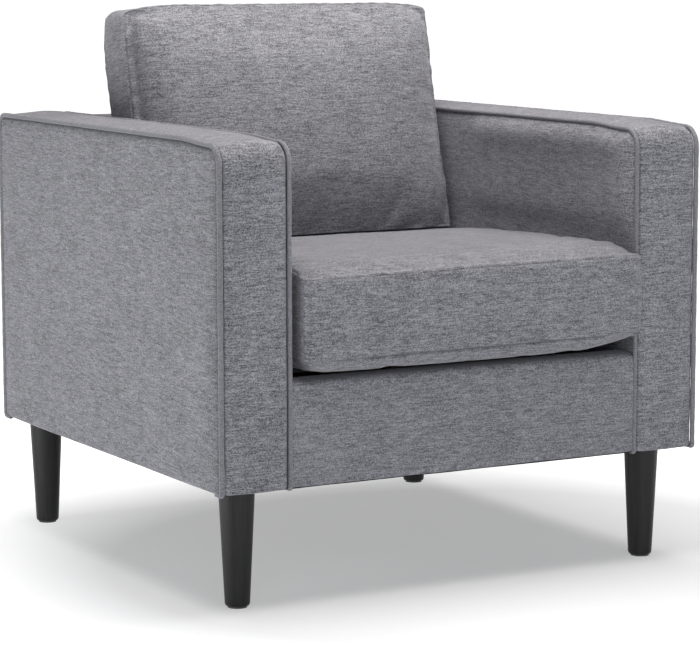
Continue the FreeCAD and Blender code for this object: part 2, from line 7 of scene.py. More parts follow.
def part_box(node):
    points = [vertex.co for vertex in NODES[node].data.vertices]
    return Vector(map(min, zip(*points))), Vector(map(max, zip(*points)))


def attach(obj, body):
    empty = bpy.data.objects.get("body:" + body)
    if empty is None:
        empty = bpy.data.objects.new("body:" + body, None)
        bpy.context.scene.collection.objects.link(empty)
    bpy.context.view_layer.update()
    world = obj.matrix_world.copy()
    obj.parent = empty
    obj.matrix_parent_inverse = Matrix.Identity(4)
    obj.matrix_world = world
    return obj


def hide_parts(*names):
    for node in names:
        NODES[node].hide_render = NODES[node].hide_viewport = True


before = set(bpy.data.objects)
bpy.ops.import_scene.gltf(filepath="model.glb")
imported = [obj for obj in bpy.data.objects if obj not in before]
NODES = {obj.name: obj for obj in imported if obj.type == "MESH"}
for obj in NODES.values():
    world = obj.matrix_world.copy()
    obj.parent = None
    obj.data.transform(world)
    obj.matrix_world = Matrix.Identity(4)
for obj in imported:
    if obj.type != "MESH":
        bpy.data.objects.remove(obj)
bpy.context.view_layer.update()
SC = bpy.context.scene
SC.view_settings.view_transform = "Standard"
SC.view_settings.look = "None"
rng = np.random.default_rng(7)

MM = 0.001


# ------------------------------------------------------------------ the frame's own sizes
def mm(node):
    lo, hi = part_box(node)
    return np.array(lo) * 1000, np.array(hi) * 1000


wl, wh = mm("arm_left_welts")
HALF = wh[0]                      # half width over the arms
IN = wl[0]                        # inner face of the arms
FY, RY = wl[1], wh[1]             # front and rear of the arms
BASE, TOP = wl[2], wh[2]          # underside and top of the arms
sl, sh = mm("seat_cushion_cover")
pl, ph = mm("back_cushion_cover")
bl, bh = mm("back_inner_cover")
rl, rh = mm("front_rail_cover")
LEAN = math.radians(12.0)
TAN = math.tan(LEAN)


def back_face(z):
    """Y of the inner back's face at height z, in mm."""
    return 283.0 - (bh[2] - z) * TAN


# ------------------------------------------------------------------ mesh helpers
def mesh_object(name, verts, faces, smooth=True):
    me = bpy.data.meshes.new(name)
    me.from_pydata([tuple(v) for v in np.asarray(verts, float) * MM], [], [tuple(int(i) for i in f) for f in faces])
    me.validate()
    me.update()
    if smooth:
        me.polygons.foreach_set("use_smooth", [True] * len(me.polygons))
    ob = bpy.data.objects.new(name, me)
    SC.collection.objects.link(ob)
    return ob


def coords(ob):
    a = np.zeros(len(ob.data.vertices) * 3, np.float32)
    ob.data.vertices.foreach_get("co", a)
    return a.reshape(-1, 3).astype(float) * 1000


def set_coords(ob, co):
    ob.data.vertices.foreach_set("co", (np.asarray(co) * MM).astype(np.float32).ravel())
    ob.data.update()


def vertex_normals(ob):
    a = np.zeros(len(ob.data.vertices) * 3, np.float32)
    ob.data.vertices.foreach_get("normal", a)
    return a.reshape(-1, 3).astype(float)


def fix_normals(ob):
    bm = bmesh.new()
    bm.from_mesh(ob.data)
    bmesh.ops.recalc_face_normals(bm, faces=bm.faces)
    bm.to_mesh(ob.data)
    bm.free()
    ob.data.update()


def apply_modifiers(ob):
    dg = bpy.context.evaluated_depsgraph_get()
    me = bpy.data.meshes.new_from_object(ob.evaluated_get(dg))
    old = ob.data
    ob.modifiers.clear()
    ob.data = me
    bpy.data.meshes.remove(old)
    ob.data.polygons.foreach_set("use_smooth", [True] * len(ob.data.polygons))


def subdivide(ob, levels=1):
    m = ob.modifiers.new("sub", "SUBSURF")
    m.levels = m.render_levels = levels
    m.boundary_smooth = "ALL"
    apply_modifiers(ob)


def face_attribute(ob, name, values):
    a = ob.data.attributes.get(name) or ob.data.attributes.new(name, "INT", "FACE")
    a.data.foreach_set("value", np.asarray(values, np.int32))


def set_painted_shade_and_highlight(ob, values):
    """Painted shade along sewn lines and grooves, 0 to 1, that darkens the cloth's colour; below 0 it is a painted
    highlight.
    """
    a = ob.data.attributes.get("painted_shade_and_highlight") or ob.data.attributes.new("painted_shade_and_highlight", "FLOAT", "POINT")
    a.data.foreach_set("value", np.asarray(values, np.float32))


def get_face_attribute(ob, name):
    a = np.zeros(len(ob.data.polygons), np.int32)
    ob.data.attributes[name].data.foreach_get("value", a)
    return a


def cloth_coords(ob, fn):
    """Stores the cloth's own coordinates (metres along the weft, metres along the warp, panel) on every face corner.
    fn(panel, points_mm) gives u, v and a seed."""
    me = ob.data
    n = len(me.loops)
    vi = np.zeros(n, np.int32)
    me.loops.foreach_get("vertex_index", vi)
    co = coords(ob)[vi]
    starts = np.zeros(len(me.polygons), np.int32)
    totals = np.zeros(len(me.polygons), np.int32)
    me.polygons.foreach_get("loop_start", starts)
    me.polygons.foreach_get("loop_total", totals)
    panel = get_face_attribute(ob, "panel") if "panel" in me.attributes else np.zeros(len(me.polygons), np.int32)
    per = np.zeros(n, np.int32)
    for s, t, p in zip(starts, totals, panel):
        per[s : s + t] = p
    out = np.zeros((n, 3))
    for p in np.unique(per):
        m = per == p
        u, v, w = fn(int(p), co[m])
        out[m, 0], out[m, 1], out[m, 2] = np.asarray(u) * MM, np.asarray(v) * MM, w
    a = me.attributes.get("cloth") or me.attributes.new("cloth", "FLOAT_VECTOR", "CORNER")
    a.data.foreach_set("vector", out.astype(np.float32).ravel())


def smooth01(a, b, x):
    t = np.clip((np.asarray(x, float) - a) / (b - a), 0, 1)
    return t * t * (3 - 2 * t)


def fbm(p, scale, seed=0.0, octaves=3):
    """Fractal noise, about -1..1, at points in mm."""
    out = np.zeros(len(p))
    for i, q in enumerate(p):
        v, a, s = 0.0, 1.0, 1.0
        for _ in range(octaves):
            v += a * noise.noise(Vector((q[0] / scale * s + seed, q[1] / scale * s + seed * 1.7, q[2] / scale * s - seed)))
            a *= 0.5
            s *= 2.03
        out[i] = v
    return out


# ------------------------------------------------------------------ materials
def new_material(name):
    m = bpy.data.materials.new(name)
    m.use_nodes = True
    nt = m.node_tree
    nt.nodes.clear()
    out = nt.nodes.new("ShaderNodeOutputMaterial")
    bsdf = nt.nodes.new("ShaderNodeBsdfPrincipled")
    nt.links.new(bsdf.outputs[0], out.inputs[0])
    return m, nt, bsdf


class G:
    """Small helper to write node graphs."""

    def __init__(self, nt):
        self.nt = nt

    def node(self, kind, **kw):
        n = self.nt.nodes.new(kind)
        for k, v in kw.items():
            setattr(n, k, v)
        return n

    def link(self, a, b):
        self.nt.links.new(a, b)

    def math(self, op, a, b=0.0, c=0.0, clamp=False):
        n = self.node("ShaderNodeMath", operation=op, use_clamp=clamp)
        for i, x in enumerate((a, b, c)):
            if i >= len(n.inputs):
                break
            if isinstance(x, (int, float)):
                n.inputs[i].default_value = x
            else:
                self.link(x, n.inputs[i])
        return n.outputs[0]

    def scale(self, vec, sx, sy, sz=1.0):
        n = self.node("ShaderNodeVectorMath", operation="MULTIPLY")
        self.link(vec, n.inputs[0])
        n.inputs[1].default_value = (sx, sy, sz)
        return n.outputs[0]

    def noise(self, vec, scale=1.0, detail=2.0, rough=0.5):
        n = self.node("ShaderNodeTexNoise")
        n.inputs["Scale"].default_value = scale
        n.inputs["Detail"].default_value = detail
        n.inputs["Roughness"].default_value = rough
        self.link(vec, n.inputs["Vector"])
        return n.outputs[0]

    def ramp(self, fac, stops):
        n = self.node("ShaderNodeValToRGB")
        el = n.color_ramp.elements
        while len(el) < len(stops):
            el.new(0.5)
        for e, (p, c) in zip(el, stops):
            e.position, e.color = p, (*c, 1.0)
        self.link(fac, n.inputs[0])
        return n.outputs[0]

    def mix(self, fac, a, b, kind="MIX"):
        n = self.node("ShaderNodeMix", data_type="RGBA", blend_type=kind)
        for sock, x in ((n.inputs[0], fac), (n.inputs[6], a), (n.inputs[7], b)):
            if isinstance(x, (int, float)):
                sock.default_value = x
            elif isinstance(x, tuple):
                sock.default_value = (*x, 1.0)
            else:
                self.link(x, sock)
        return n.outputs[2]

    def bump(self, height, distance, strength=1.0, normal=None):
        n = self.node("ShaderNodeBump")
        n.inputs["Strength"].default_value = strength
        n.inputs["Distance"].default_value = distance
        self.link(height, n.inputs["Height"])
        if normal is not None:
            self.link(normal, n.inputs["Normal"])
        return n.outputs[0]


def fabric_material(name, dark, light, contrast=1.0, sheen=0.35, rows=True):
    """Heathered chenille: weft yarns of uneven colour in rows, crossed by a fine warp, with cloudy pile shading."""
    m, nt, bsdf = new_material(name)
    g = G(nt)
    at = g.node("ShaderNodeAttribute", attribute_name="cloth", attribute_type="GEOMETRY")
    vec = at.outputs["Vector"]
    sep = g.node("ShaderNodeSeparateXYZ")
    g.link(vec, sep.inputs[0])
    u, v, w = sep.outputs[0], sep.outputs[1], sep.outputs[2]

    def vec3(x, y, z):
        n = g.node("ShaderNodeCombineXYZ")
        for i, q in enumerate((x, y, z)):
            if isinstance(q, (int, float)):
                n.inputs[i].default_value = q
            else:
                g.link(q, n.inputs[i])
        return n.outputs[0]

    wander = g.noise(g.scale(vec, 25, 20, 1.3), detail=1.0)
    v2 = g.math("MULTIPLY_ADD", wander, 0.0005, v)
    row = g.math("FLOOR", g.math("DIVIDE", v2, 0.00135))
    pair = g.math("FLOOR", g.math("MULTIPLY", row, 0.5))
    flip = g.math("MULTIPLY_ADD", g.math("SUBTRACT", g.math("MULTIPLY", row, 0.5), pair), 4.0, -1.0)

    def white(x, y, z):
        n = g.node("ShaderNodeTexWhiteNoise", noise_dimensions="3D")
        g.link(vec3(x, y, z), n.inputs[0])
        return n.outputs[0]

    shift = g.math("MULTIPLY", white(row, 3.0, w), 0.02)
    us = g.math("ADD", u, shift)
    short = white(g.math("FLOOR", g.math("DIVIDE", us, 0.0015)), row, w)
    longf = white(g.math("FLOOR", g.math("DIVIDE", us, 0.0130)), row, g.math("ADD", w, 0.5))
    yarn = g.noise(vec3(g.math("MULTIPLY", u, 62.0), g.math("MULTIPLY", row, 7.31), w), detail=1.0, rough=0.6)
    dash = g.noise(vec3(g.math("MULTIPLY", u, 100.0), g.math("MULTIPLY", pair, 5.77), g.math("ADD", w, 9.0)), detail=1.0, rough=0.6)
    dash = g.math("MULTIPLY_ADD", g.math("SUBTRACT", dash, 0.5), flip, 0.5)
    slub = g.noise(vec3(g.math("MULTIPLY", u, 430.0), g.math("MULTIPLY", row, 3.17), w), detail=1.0, rough=0.5)
    speck = g.noise(g.scale(vec, 980, 760, 11.1), detail=1.0, rough=0.6)
    band = g.noise(g.scale(vec, 24, 150, 7.7), detail=1.0, rough=0.5)
    cloud = g.noise(g.scale(vec, 27, 7.5, 5.3), detail=2.0, rough=0.55)
    patch = g.noise(g.scale(vec, 9, 11, 3.1), detail=1.0, rough=0.5)
    warp = g.noise(g.scale(vec, 760, 30, 23.1), detail=0.0)
    if rows:
        parts = ((short, 0.44), (longf, 0.24), (yarn, 0.34), (dash, 0.26), (slub, 0.08), (band, 0.18), (cloud, 0.14), (patch, 0.04))
    else:
        parts = ((short, 0.20), (slub, 0.35), (speck, 0.50), (cloud, 0.10))
    h = None
    for sock, k in parts:
        h = g.math("MULTIPLY", sock, k) if h is None else g.math("MULTIPLY_ADD", sock, k, h)
    mid = 0.5 * sum(k for _, k in parts)
    f = g.math("MULTIPLY_ADD", g.math("SUBTRACT", h, mid), 1.52 * contrast, 0.5, clamp=True)
    # painted shade from the mesh attribute darkens the colour; negative values paint a highlight
    cr = g.node("ShaderNodeAttribute", attribute_name="painted_shade_and_highlight", attribute_type="GEOMETRY")
    f = g.math("MULTIPLY", f, g.math("MULTIPLY_ADD", cr.outputs["Fac"], -0.85, 1.0))
    col = g.ramp(f, [(0.0, dark), (0.5, tuple((a + b) * 0.47 for a, b in zip(dark, light))), (1.0, light)])
    nt.links.new(col, bsdf.inputs["Base Color"])
    rough = g.math("MULTIPLY_ADD", f, -0.12, 0.94)
    nt.links.new(rough, bsdf.inputs["Roughness"])
    bsdf.inputs["Specular IOR Level"].default_value = 0.22
    bsdf.inputs["Sheen Weight"].default_value = sheen
    bsdf.inputs["Sheen Roughness"].default_value = 0.45
    bsdf.inputs["Sheen Tint"].default_value = (0.93, 0.93, 0.96, 1.0)
    height = g.math("MULTIPLY_ADD", slub, 0.5, g.math("MULTIPLY", speck, 0.4))
    nt.links.new(g.bump(height, 0.0005, 0.7), bsdf.inputs["Normal"])
    return m


def simple_material(name, dark, light, rough, metallic=0.0, scale=(60, 60, 60), bump=0.0003, coat=0.0, spec=0.5, detail=3.0, sheen=0.0):
    """A solid material with fine colour and height variation in the row frame's own coordinates."""
    m, nt, bsdf = new_material(name)
    g = G(nt)
    tc = g.node("ShaderNodeTexCoord")
    p = g.scale(tc.outputs["Object"], *scale)
    n = g.noise(p, detail=detail, rough=0.55)
    f = g.math("MULTIPLY_ADD", g.math("SUBTRACT", n, 0.5), 2.2, 0.5, clamp=True)
    nt.links.new(g.ramp(f, [(0.0, dark), (1.0, light)]), bsdf.inputs["Base Color"])
    nt.links.new(g.math("MULTIPLY_ADD", f, 0.12, rough - 0.06), bsdf.inputs["Roughness"])
    bsdf.inputs["Metallic"].default_value = metallic
    bsdf.inputs["Specular IOR Level"].default_value = spec
    bsdf.inputs["Coat Weight"].default_value = coat
    bsdf.inputs["Coat Roughness"].default_value = 0.25
    bsdf.inputs["Sheen Weight"].default_value = sheen
    nt.links.new(g.bump(n, bump, 0.6), bsdf.inputs["Normal"])
    return m


M_FAB = fabric_material("grey_chenille", (0.032, 0.032, 0.0352), (0.252, 0.252, 0.275), contrast=0.95, sheen=0.22)
M_WELT = fabric_material("grey_chenille_bias", (0.032, 0.032, 0.0352), (0.243, 0.243, 0.265), sheen=0.22, rows=False)
M_DECK = fabric_material("decking_cloth", (0.05, 0.05, 0.052), (0.085, 0.085, 0.088), contrast=0.6, sheen=0.1)
M_DUST = simple_material("dust_cambric", (0.010, 0.010, 0.010), (0.022, 0.022, 0.022), 0.9, scale=(900, 900, 900), bump=0.0004)
M_LEG = simple_material("black_lacquered_wood", (0.0075, 0.0075, 0.008), (0.014, 0.014, 0.0145), 0.42, scale=(260, 260, 9), bump=0.00012, coat=0.04, spec=0.16)
M_PINE = simple_material("planed_softwood", (0.42, 0.27, 0.14), (0.66, 0.48, 0.29), 0.62, scale=(40, 6, 160), bump=0.0003)
M_HARD = simple_material("hardboard_brown", (0.17, 0.10, 0.055), (0.26, 0.165, 0.095), 0.7, scale=(400, 400, 400), bump=0.0002)
M_STEEL = simple_material("zinc_steel", (0.42, 0.42, 0.43), (0.60, 0.60, 0.61), 0.34, metallic=1.0, scale=(500, 500, 90), bump=0.00005)
M_NYLON = simple_material("black_nylon", (0.014, 0.014, 0.014), (0.030, 0.030, 0.031), 0.5, scale=(300, 300, 300), bump=0.0001)
M_ZIPM = simple_material("grey_enamel", (0.10, 0.10, 0.105), (0.15, 0.15, 0.155), 0.32, metallic=0.6, scale=(800, 800, 800), bump=0.00003, coat=0.3)
M_ZIPT = simple_material("zip_tape", (0.06, 0.06, 0.063), (0.12, 0.12, 0.125), 0.85, scale=(1500, 1500, 1500), bump=0.0002)
M_WEB = simple_material("elastic_webbing", (0.05, 0.05, 0.055), (0.13, 0.13, 0.14), 0.85, scale=(700, 90, 90), bump=0.0005)


def dress(ob, material, body):
    ob.data.materials.clear()
    ob.data.materials.append(material)
    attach(ob, body)
    return ob


# ------------------------------------------------------------------ arms
def arm_path(side, d, extend=14.0, step=4.0):
    """The U-shaped line round an arm, set in by d from its outermost surface: from the underside at the front, up,
    back over the top and down to the underside at the rear. Returns (y, z, outward normal y, z, arc length)."""
    rf = FRONT_R - d
    rr = 20.0 - d
    bf, br = max(6.0 - d, 1.5), max(9.0 - d, 4.0)
    y0, y1, z0, z1 = FY + d, RY - d, BASE + max(0.0, min(d, 1.2)), TOP - d
    pts = []

    def line(a, b):
        n = max(2, int(math.hypot(b[0] - a[0], b[1] - a[1]) / step))
        for i in range(n):
            t = i / n
            pts.append((a[0] + (b[0] - a[0]) * t, a[1] + (b[1] - a[1]) * t))

    def arc(cy, cz, r, a0, a1):
        n = max(4, int(abs(a1 - a0) * r / 2.5))
        for i in range(n):
            a = a0 + (a1 - a0) * i / n
            pts.append((cy + r * math.cos(a), cz + r * math.sin(a)))

    line((y0 + bf + extend, z0), (y0 + bf, z0))
    arc(y0 + bf, z0 + bf, bf, -math.pi / 2, -math.pi)
    line((y0, z0 + bf), (y0, z1 - rf))
    arc(y0 + rf, z1 - rf, rf, math.pi, math.pi / 2)
    line((y0 + rf, z1), (y1 - rr, z1))
    arc(y1 - rr, z1 - rr, rr, math.pi / 2, 0)
    line((y1, z1 - rr), (y1, z0 + br))
    arc(y1 - br, z0 + br, br, 0, -math.pi / 2)
    line((y1 - br, z0), (y1 - br - extend, z0))
    pts.append((y1 - br - extend, z0))
    p = np.array(pts)
    t = np.gradient(p, axis=0)
    t /= np.linalg.norm(t, axis=1)[:, None]
    nrm = np.stack([-t[:, 1], t[:, 0]], 1)  # the path runs clockwise seen from +X, so this points outwards
    s = np.concatenate([[0], np.cumsum(np.linalg.norm(np.diff(p, axis=0), axis=1))])
    return p, nrm, s


FRONT_R = 31.0                    # radius of the arms' front top corner
WELT_IN = IN - 3.2                # the inner welts stand a little inside the arm's own inner face


def settle(co):
    """The top of an arm drops gently towards its front corner."""
    y, z = co[:, 1], co[:, 2]
    co[:, 2] -= 4.6 * (1 - smooth01(FY + 30, FY + 125, y)) * smooth01(TOP - 130, TOP - 20, z)
    return co


def top_crown(y, z):
    """How far along the arm's top a point is, 1 in the middle of the top, 0 on the front and rear faces."""
    return smooth01(TOP - 30, TOP - 8, z) * smooth01(FY + 2, FY + 34, y) * (1 - smooth01(RY - 60, RY - 5, y))


def make_boxing(word, side):
    """The strip over the front, top and rear of an arm, between its two welts."""
    p, nrm, s = arm_path(side, 2.0)
    x0, x1 = WELT_IN + 4.5, HALF - 4.5
    rel = [0, 1.2, 2.2, 3.2, 4.4, 6, 9, 14, 22, 32, 44]
    w = x1 - x0
    xs = sorted(set([r for r in rel if r < w / 2] + [w - r for r in rel if r < w / 2] + [w / 2]))
    verts, faces = [], []
    for i in range(len(p)):
        tc = top_crown(p[i, 0], p[i, 1])
        rear = smooth01(RY - 10, RY - 4, p[i, 0])
        for r in xs:
            e = min(r, w - r)
            sink = (6.2 - 4.6 * rear) * math.exp(-((e / 4.0) ** 2.4))
            crown = (1.3 + 5.0 * tc) * (1 - math.exp(-((e / 24.0) ** 1.4)))
            h = crown - sink
            verts.append((side * (x0 + r), p[i, 0] + nrm[i, 0] * h, p[i, 1] + nrm[i, 1] * h))
    nx = len(xs)
    for i in range(len(p) - 1):
        for j in range(nx - 1):
            a = i * nx + j
            q = (a, a + 1, a + nx + 1, a + nx)
            faces.append(q if side > 0 else q[::-1])
    ob = mesh_object("arm_%s_boxing_strip" % word, verts, faces)
    edge = np.array([min(r, w - r) for r in xs] * len(p))
    # painted shade along both edges of the strip, in the grooves beside the welts
    set_painted_shade_and_highlight(ob, 0.75 * np.exp(-((edge / 3.0) ** 2)))
    co = coords(ob)
    n = vertex_normals(ob)
    amp = 0.55 * fbm(co, 55.0, 3.1 + side, 3) + 0.5 * fbm(co, 170.0, 8.0 + side, 2)
    set_coords(ob, settle(co + n * amp[:, None]))
    # arc length along the strip for the weave
    sv = np.repeat(s, nx)

    me = ob.data
    vi = np.zeros(len(me.loops), np.int32)
    me.loops.foreach_get("vertex_index", vi)
    out = np.stack([co[vi, 0] * MM, sv[vi] * MM, np.full(len(vi), 3.0 + side)], 1)
    a = me.attributes.new("cloth", "FLOAT_VECTOR", "CORNER")
    a.data.foreach_set("vector", out.astype(np.float32).ravel())
    subdivide(ob, 1)
    return ob


def make_welt(word, side, which):
    """A folded self-welt along one edge of the boxing."""
    d = 3.0
    p, nrm, s = arm_path(side, d, step=5.0)
    xc = (HALF - 3.3) if which == "outer" else (WELT_IN + 3.2)
    r0 = 3.7 if which == "outer" else 3.1
    out = 1 if which == "outer" else -1
    nseg = 14
    verts, faces, sv, av = [], [], [], []
    for i in range(len(p)):
        wob = 1.0 + 0.035 * math.sin(s[i] * 0.083 + side) + 0.03 * math.sin(s[i] * 0.31 + 2.0 * side)
        for k in range(nseg):
            a = 2 * math.pi * k / nseg
            ca, sa = math.cos(a), math.sin(a)
            rx = r0 * wob * math.copysign(abs(ca) ** 0.85, ca)
            rn = (r0 - 0.1) * wob * math.copysign(abs(sa) ** 0.85, sa)
            verts.append((side * (xc + out * rx), p[i, 0] + nrm[i, 0] * rn, p[i, 1] + nrm[i, 1] * rn))
            sv.append(s[i])
            av.append(a * 3.4)
    for i in range(len(p) - 1):
        for k in range(nseg):
            a, b = i * nseg + k, i * nseg + (k + 1) % nseg
            faces.append((a, b, b + nseg, a + nseg))
    faces.append(tuple(range(nseg))[::-1])
    faces.append(tuple((len(p) - 1) * nseg + k for k in range(nseg)))
    ob = mesh_object("arm_%s_%s_welt" % (word, which), verts, faces)
    set_coords(ob, settle(coords(ob)))
    fix_normals(ob)
    me = ob.data
    sv, av = np.array(sv), np.array(av)
    vi = np.zeros(len(me.loops), np.int32)
    me.loops.foreach_get("vertex_index", vi)
    o = np.stack([av[vi] * MM, sv[vi] * MM, np.full(len(vi), 9.0 + side + out)], 1)
    at = me.attributes.new("cloth", "FLOAT_VECTOR", "CORNER")
    at.data.foreach_set("vector", o.astype(np.float32).ravel())
    return ob


def rounded_sdf(y, z, y0, y1, z0, z1, radii):
    """Distance inside a rectangle with its own radius at each corner (front-low, rear-low, rear-top, front-top)."""
    cy, cz = (y0 + y1) / 2, (z0 + z1) / 2
    r = np.where(y < cy, np.where(z < cz, radii[0], radii[3]), np.where(z < cz, radii[1], radii[2]))
    qy = np.abs(y - cy) - (y1 - y0) / 2 + r
    qz = np.abs(z - cz) - (z1 - z0) / 2 + r
    return -(np.minimum(np.maximum(qy, qz), 0) + np.hypot(np.maximum(qy, 0), np.maximum(qz, 0)) - r)


def edge_steps(length, fine=(0, 1.1, 2.2, 3.3, 4.6, 6.2, 8.5, 12, 17, 24, 32), pitch=11.0):
    mid0, mid1 = fine[-1], length - fine[-1]
    n = max(1, int(round((mid1 - mid0) / pitch)))
    inner = [mid0 + (mid1 - mid0) * i / n for i in range(1, n)]
    return np.array(sorted(list(fine) + inner + [length - f for f in fine]))


def panel_grid(y0, y1, z0, z1, radii, pitch=11.0):
    """A quad grid over a rectangle with rounded corners: (points n x 2, faces, grid shape)."""
    ys, zs = y0 + edge_steps(y1 - y0, pitch=pitch), z0 + edge_steps(z1 - z0, pitch=pitch)
    Y, Z = np.meshgrid(ys, zs, indexing="ij")
    Y, Z = Y.copy(), Z.copy()
    for (sy, sz, r) in ((-1, -1, radii[0]), (1, -1, radii[1]), (1, 1, radii[2]), (-1, 1, radii[3])):
        if r < 0.5:
            continue
        cy = (y0 + r) if sy < 0 else (y1 - r)
        cz = (z0 + r) if sz < 0 else (z1 - r)
        dy, dz = (Y - cy) * sy, (Z - cz) * sz
        m = (dy > 0) & (dz > 0)
        mx = np.maximum(dy, dz)
        h = np.hypot(dy, dz)
        f = np.where(m, mx / np.maximum(h, 1e-9), 1.0)
        Y = np.where(m, cy + sy * dy * f, Y)
        Z = np.where(m, cz + sz * dz * f, Z)
    ny, nz = Y.shape
    faces = []
    for i in range(ny - 1):
        for j in range(nz - 1):
            a = i * nz + j
            faces.append((a, a + nz, a + nz + 1, a + 1))
    return Y.ravel(), Z.ravel(), faces, (ny, nz)


def make_outer_panel(word, side):
    """The flat outer side of an arm: tucked under the welt on three sides and rolled under at the bottom."""
    d0 = 3.0
    radii = (4.0, 7.0, 17.0, FRONT_R - d0)
    y0, y1, z0, z1 = FY + d0, RY - d0, BASE, TOP - d0
    Y, Z, faces, (ny, nz) = panel_grid(y0, y1, z0, z1, radii)
    # distance to the welted edges and to the foot
    dw = rounded_sdf(Y, Z, y0, y1, z0 - 200, z1, (1, 1, radii[2], radii[3]))
    d_all = rounded_sdf(Y, Z, y0, y1, z0, z1, radii)
    db = np.minimum(Z - z0, d_all + 0 * Z)
    dw = np.maximum(dw, 0)
    x = HALF - 4.0 + 2.0 * (1 - np.exp(-((dw / 9.0) ** 1.2))) + 2.4 * (1 - np.exp(-((dw / 40.0) ** 1.4)))
    x -= 4.4 * np.exp(-((np.maximum(dw - 2.6, 0) / 2.9) ** 1.6)) * (1 - smooth01(RY - 16, RY - 9, Y))
    x = np.where((Y > -369) & (Y < 399.5) & (Z < 637), np.maximum(x, 397.2), x)
    roll = np.clip(6.0 - np.maximum(db, 0), 0, 6)
    low = Z < z0 + 30
    x -= np.where(low, 6.0 - np.sqrt(np.maximum(36.0 - roll**2, 0)), 0)
    verts = np.stack([side * x, Y, Z], 1)
    faces = [f if side > 0 else f[::-1] for f in faces]
    # tuck under: a short return below the bottom row
    verts = list(map(tuple, verts))
    bottom = [i * nz for i in range(ny)]
    under = []
    for k in bottom:
        vx, vy, vz = verts[k]
        verts.append((vx - side * 8.0, vy, vz + 0.4))
        under.append(len(verts) - 1)
    for a in range(ny - 1):
        f = (under[a], under[a + 1], bottom[a + 1], bottom[a])
        faces.append(f if side > 0 else f[::-1])
    ob = mesh_object("arm_%s_outer_panel" % word, verts, faces)
    co = coords(ob)
    # painted shade in the grooves: narrow under the top welt, wider behind the front one
    painted_shade_band = 0.85 * np.exp(-((np.maximum(dw - 3.8, 0) / 2.2) ** 2)) * (1 - smooth01(RY - 16, RY - 9, Y))
    behind = np.maximum(Y - FY - 6.0, 0)
    painted_shade_band = np.maximum(painted_shade_band, (0.62 * np.exp(-((behind / 6.0) ** 2)) + 0.22 * np.exp(-((behind / 30.0) ** 2))) * smooth01(BASE - 10, BASE + 20, Z))
    set_painted_shade_and_highlight(ob, np.concatenate([painted_shade_band, np.zeros(len(under))]))
    amp = 0.7 * fbm(co, 210.0, 5.5 + side, 2) + 0.22 * fbm(co, 60.0, 1.5, 2)
    dwf = np.clip(np.concatenate([dw, np.zeros(len(under))]) / 14.0, 0, 1)
    co[:, 0] += side * amp * dwf
    # slight gathers where the cloth is stapled under the frame
    g = np.exp(-((co[:, 2] - BASE) / 26.0)) * 0.55
    co[:, 0] += side * g * np.array([noise.noise(Vector((y / 23.0, 3.3 * side, 0.0))) for y in co[:, 1]])
    set_coords(ob, settle(co))
    cloth_coords(ob, lambda p, q: (q[:, 1], q[:, 2], 20.0 + side))
    subdivide(ob, 1)
    return ob


def make_inner_panel(word, side):
    """The padded inner side of an arm. It bulges over the seat and is pressed flat beside the seat cushion."""
    d0 = 3.0
    radii = (2.0, 2.0, 17.0, FRONT_R - d0)
    y0, y1, z0, z1 = FY + d0, RY - d0, BASE + 0.6, TOP - d0
    Y, Z, faces, (ny, nz) = panel_grid(y0, y1, z0, z1, radii)
    dw = rounded_sdf(Y, Z, y0, y1, z0 - 200, z1, (1, 1, radii[2], radii[3]))
    dw = np.maximum(dw, 0)
    free = smooth01(486, 530, Z) * (1 - smooth01(20, 110, Y))
    rear = smooth01(486, 530, Z) * smooth01(20, 110, Y)
    amp = 4.2 + 8.0 * free + 2.5 * rear
    x = WELT_IN + 6.0 - amp * (1 - np.exp(-((dw / 11.0) ** 1.25)))
    x -= 5.0 * free * np.exp(-(((dw - 28.0) / 20.0) ** 2))
    x = np.where(Z < 486, np.maximum(x, IN - 1.6), x)
    verts = np.stack([side * x, Y, Z], 1)
    faces = [f[::-1] if side > 0 else f for f in faces]
    # the part behind the rail and the deck is cut away
    keep = []
    for f in faces:
        c = np.mean([verts[i] for i in f], axis=0)
        if c[2] < 296 and c[1] > FY + 17:
            continue
        if c[1] > back_face(c[2]) + 40 and c[2] < bh[2] - 12:
            continue
        keep.append(f)
    used = sorted(set(i for f in keep for i in f))
    remap = {o: k for k, o in enumerate(used)}
    verts = verts[used]
    keep = [tuple(remap[i] for i in f) for f in keep]
    ob = mesh_object("arm_%s_inner_panel" % word, verts, keep)
    co = coords(ob)
    # painted shade in the groove under the welt
    set_painted_shade_and_highlight(ob, 0.75 * np.exp(-((dw[used] / 3.2) ** 2)))
    dwf = np.clip(dw[used] / 16.0, 0, 1) * smooth01(474, 500, co[:, 2])
    amp = 0.9 * fbm(co, 120.0, 2.5 + side, 2) + 0.35 * fbm(co, 45.0, 4.5, 2)
    co[:, 0] -= side * (amp * dwf)
    # small gathers below the welt
    pk = 1.1 * np.exp(-((dw[used] - 9.0) / 9.0) ** 2) * smooth01(486, 520, co[:, 2])
    co[:, 0] -= side * pk * np.array([noise.noise(Vector(((y - z) / 17.0, 1.0, side))) for y, z in co[:, 1:]])
    set_coords(ob, settle(co))
    cloth_coords(ob, lambda p, q: (q[:, 1], q[:, 2], 26.0 + side))
    subdivide(ob, 1)
    return ob


for word, side in (("left", 1), ("right", -1)):
    a = "arm_%s_" % word
    ob = dress(make_boxing(word, side), M_FAB, "chair")
    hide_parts(a + "boxing", a + "padding")
    w1 = dress(make_welt(word, side, "outer"), M_WELT, "chair")
    w2 = dress(make_welt(word, side, "inner"), M_WELT, "chair")
    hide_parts(a + "welts")
    ob = dress(make_outer_panel(word, side), M_FAB, "chair")
    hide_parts(a + "outer_cover")
    ob = dress(make_inner_panel(word, side), M_FAB, "chair")
    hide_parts(a + "inner_cover")


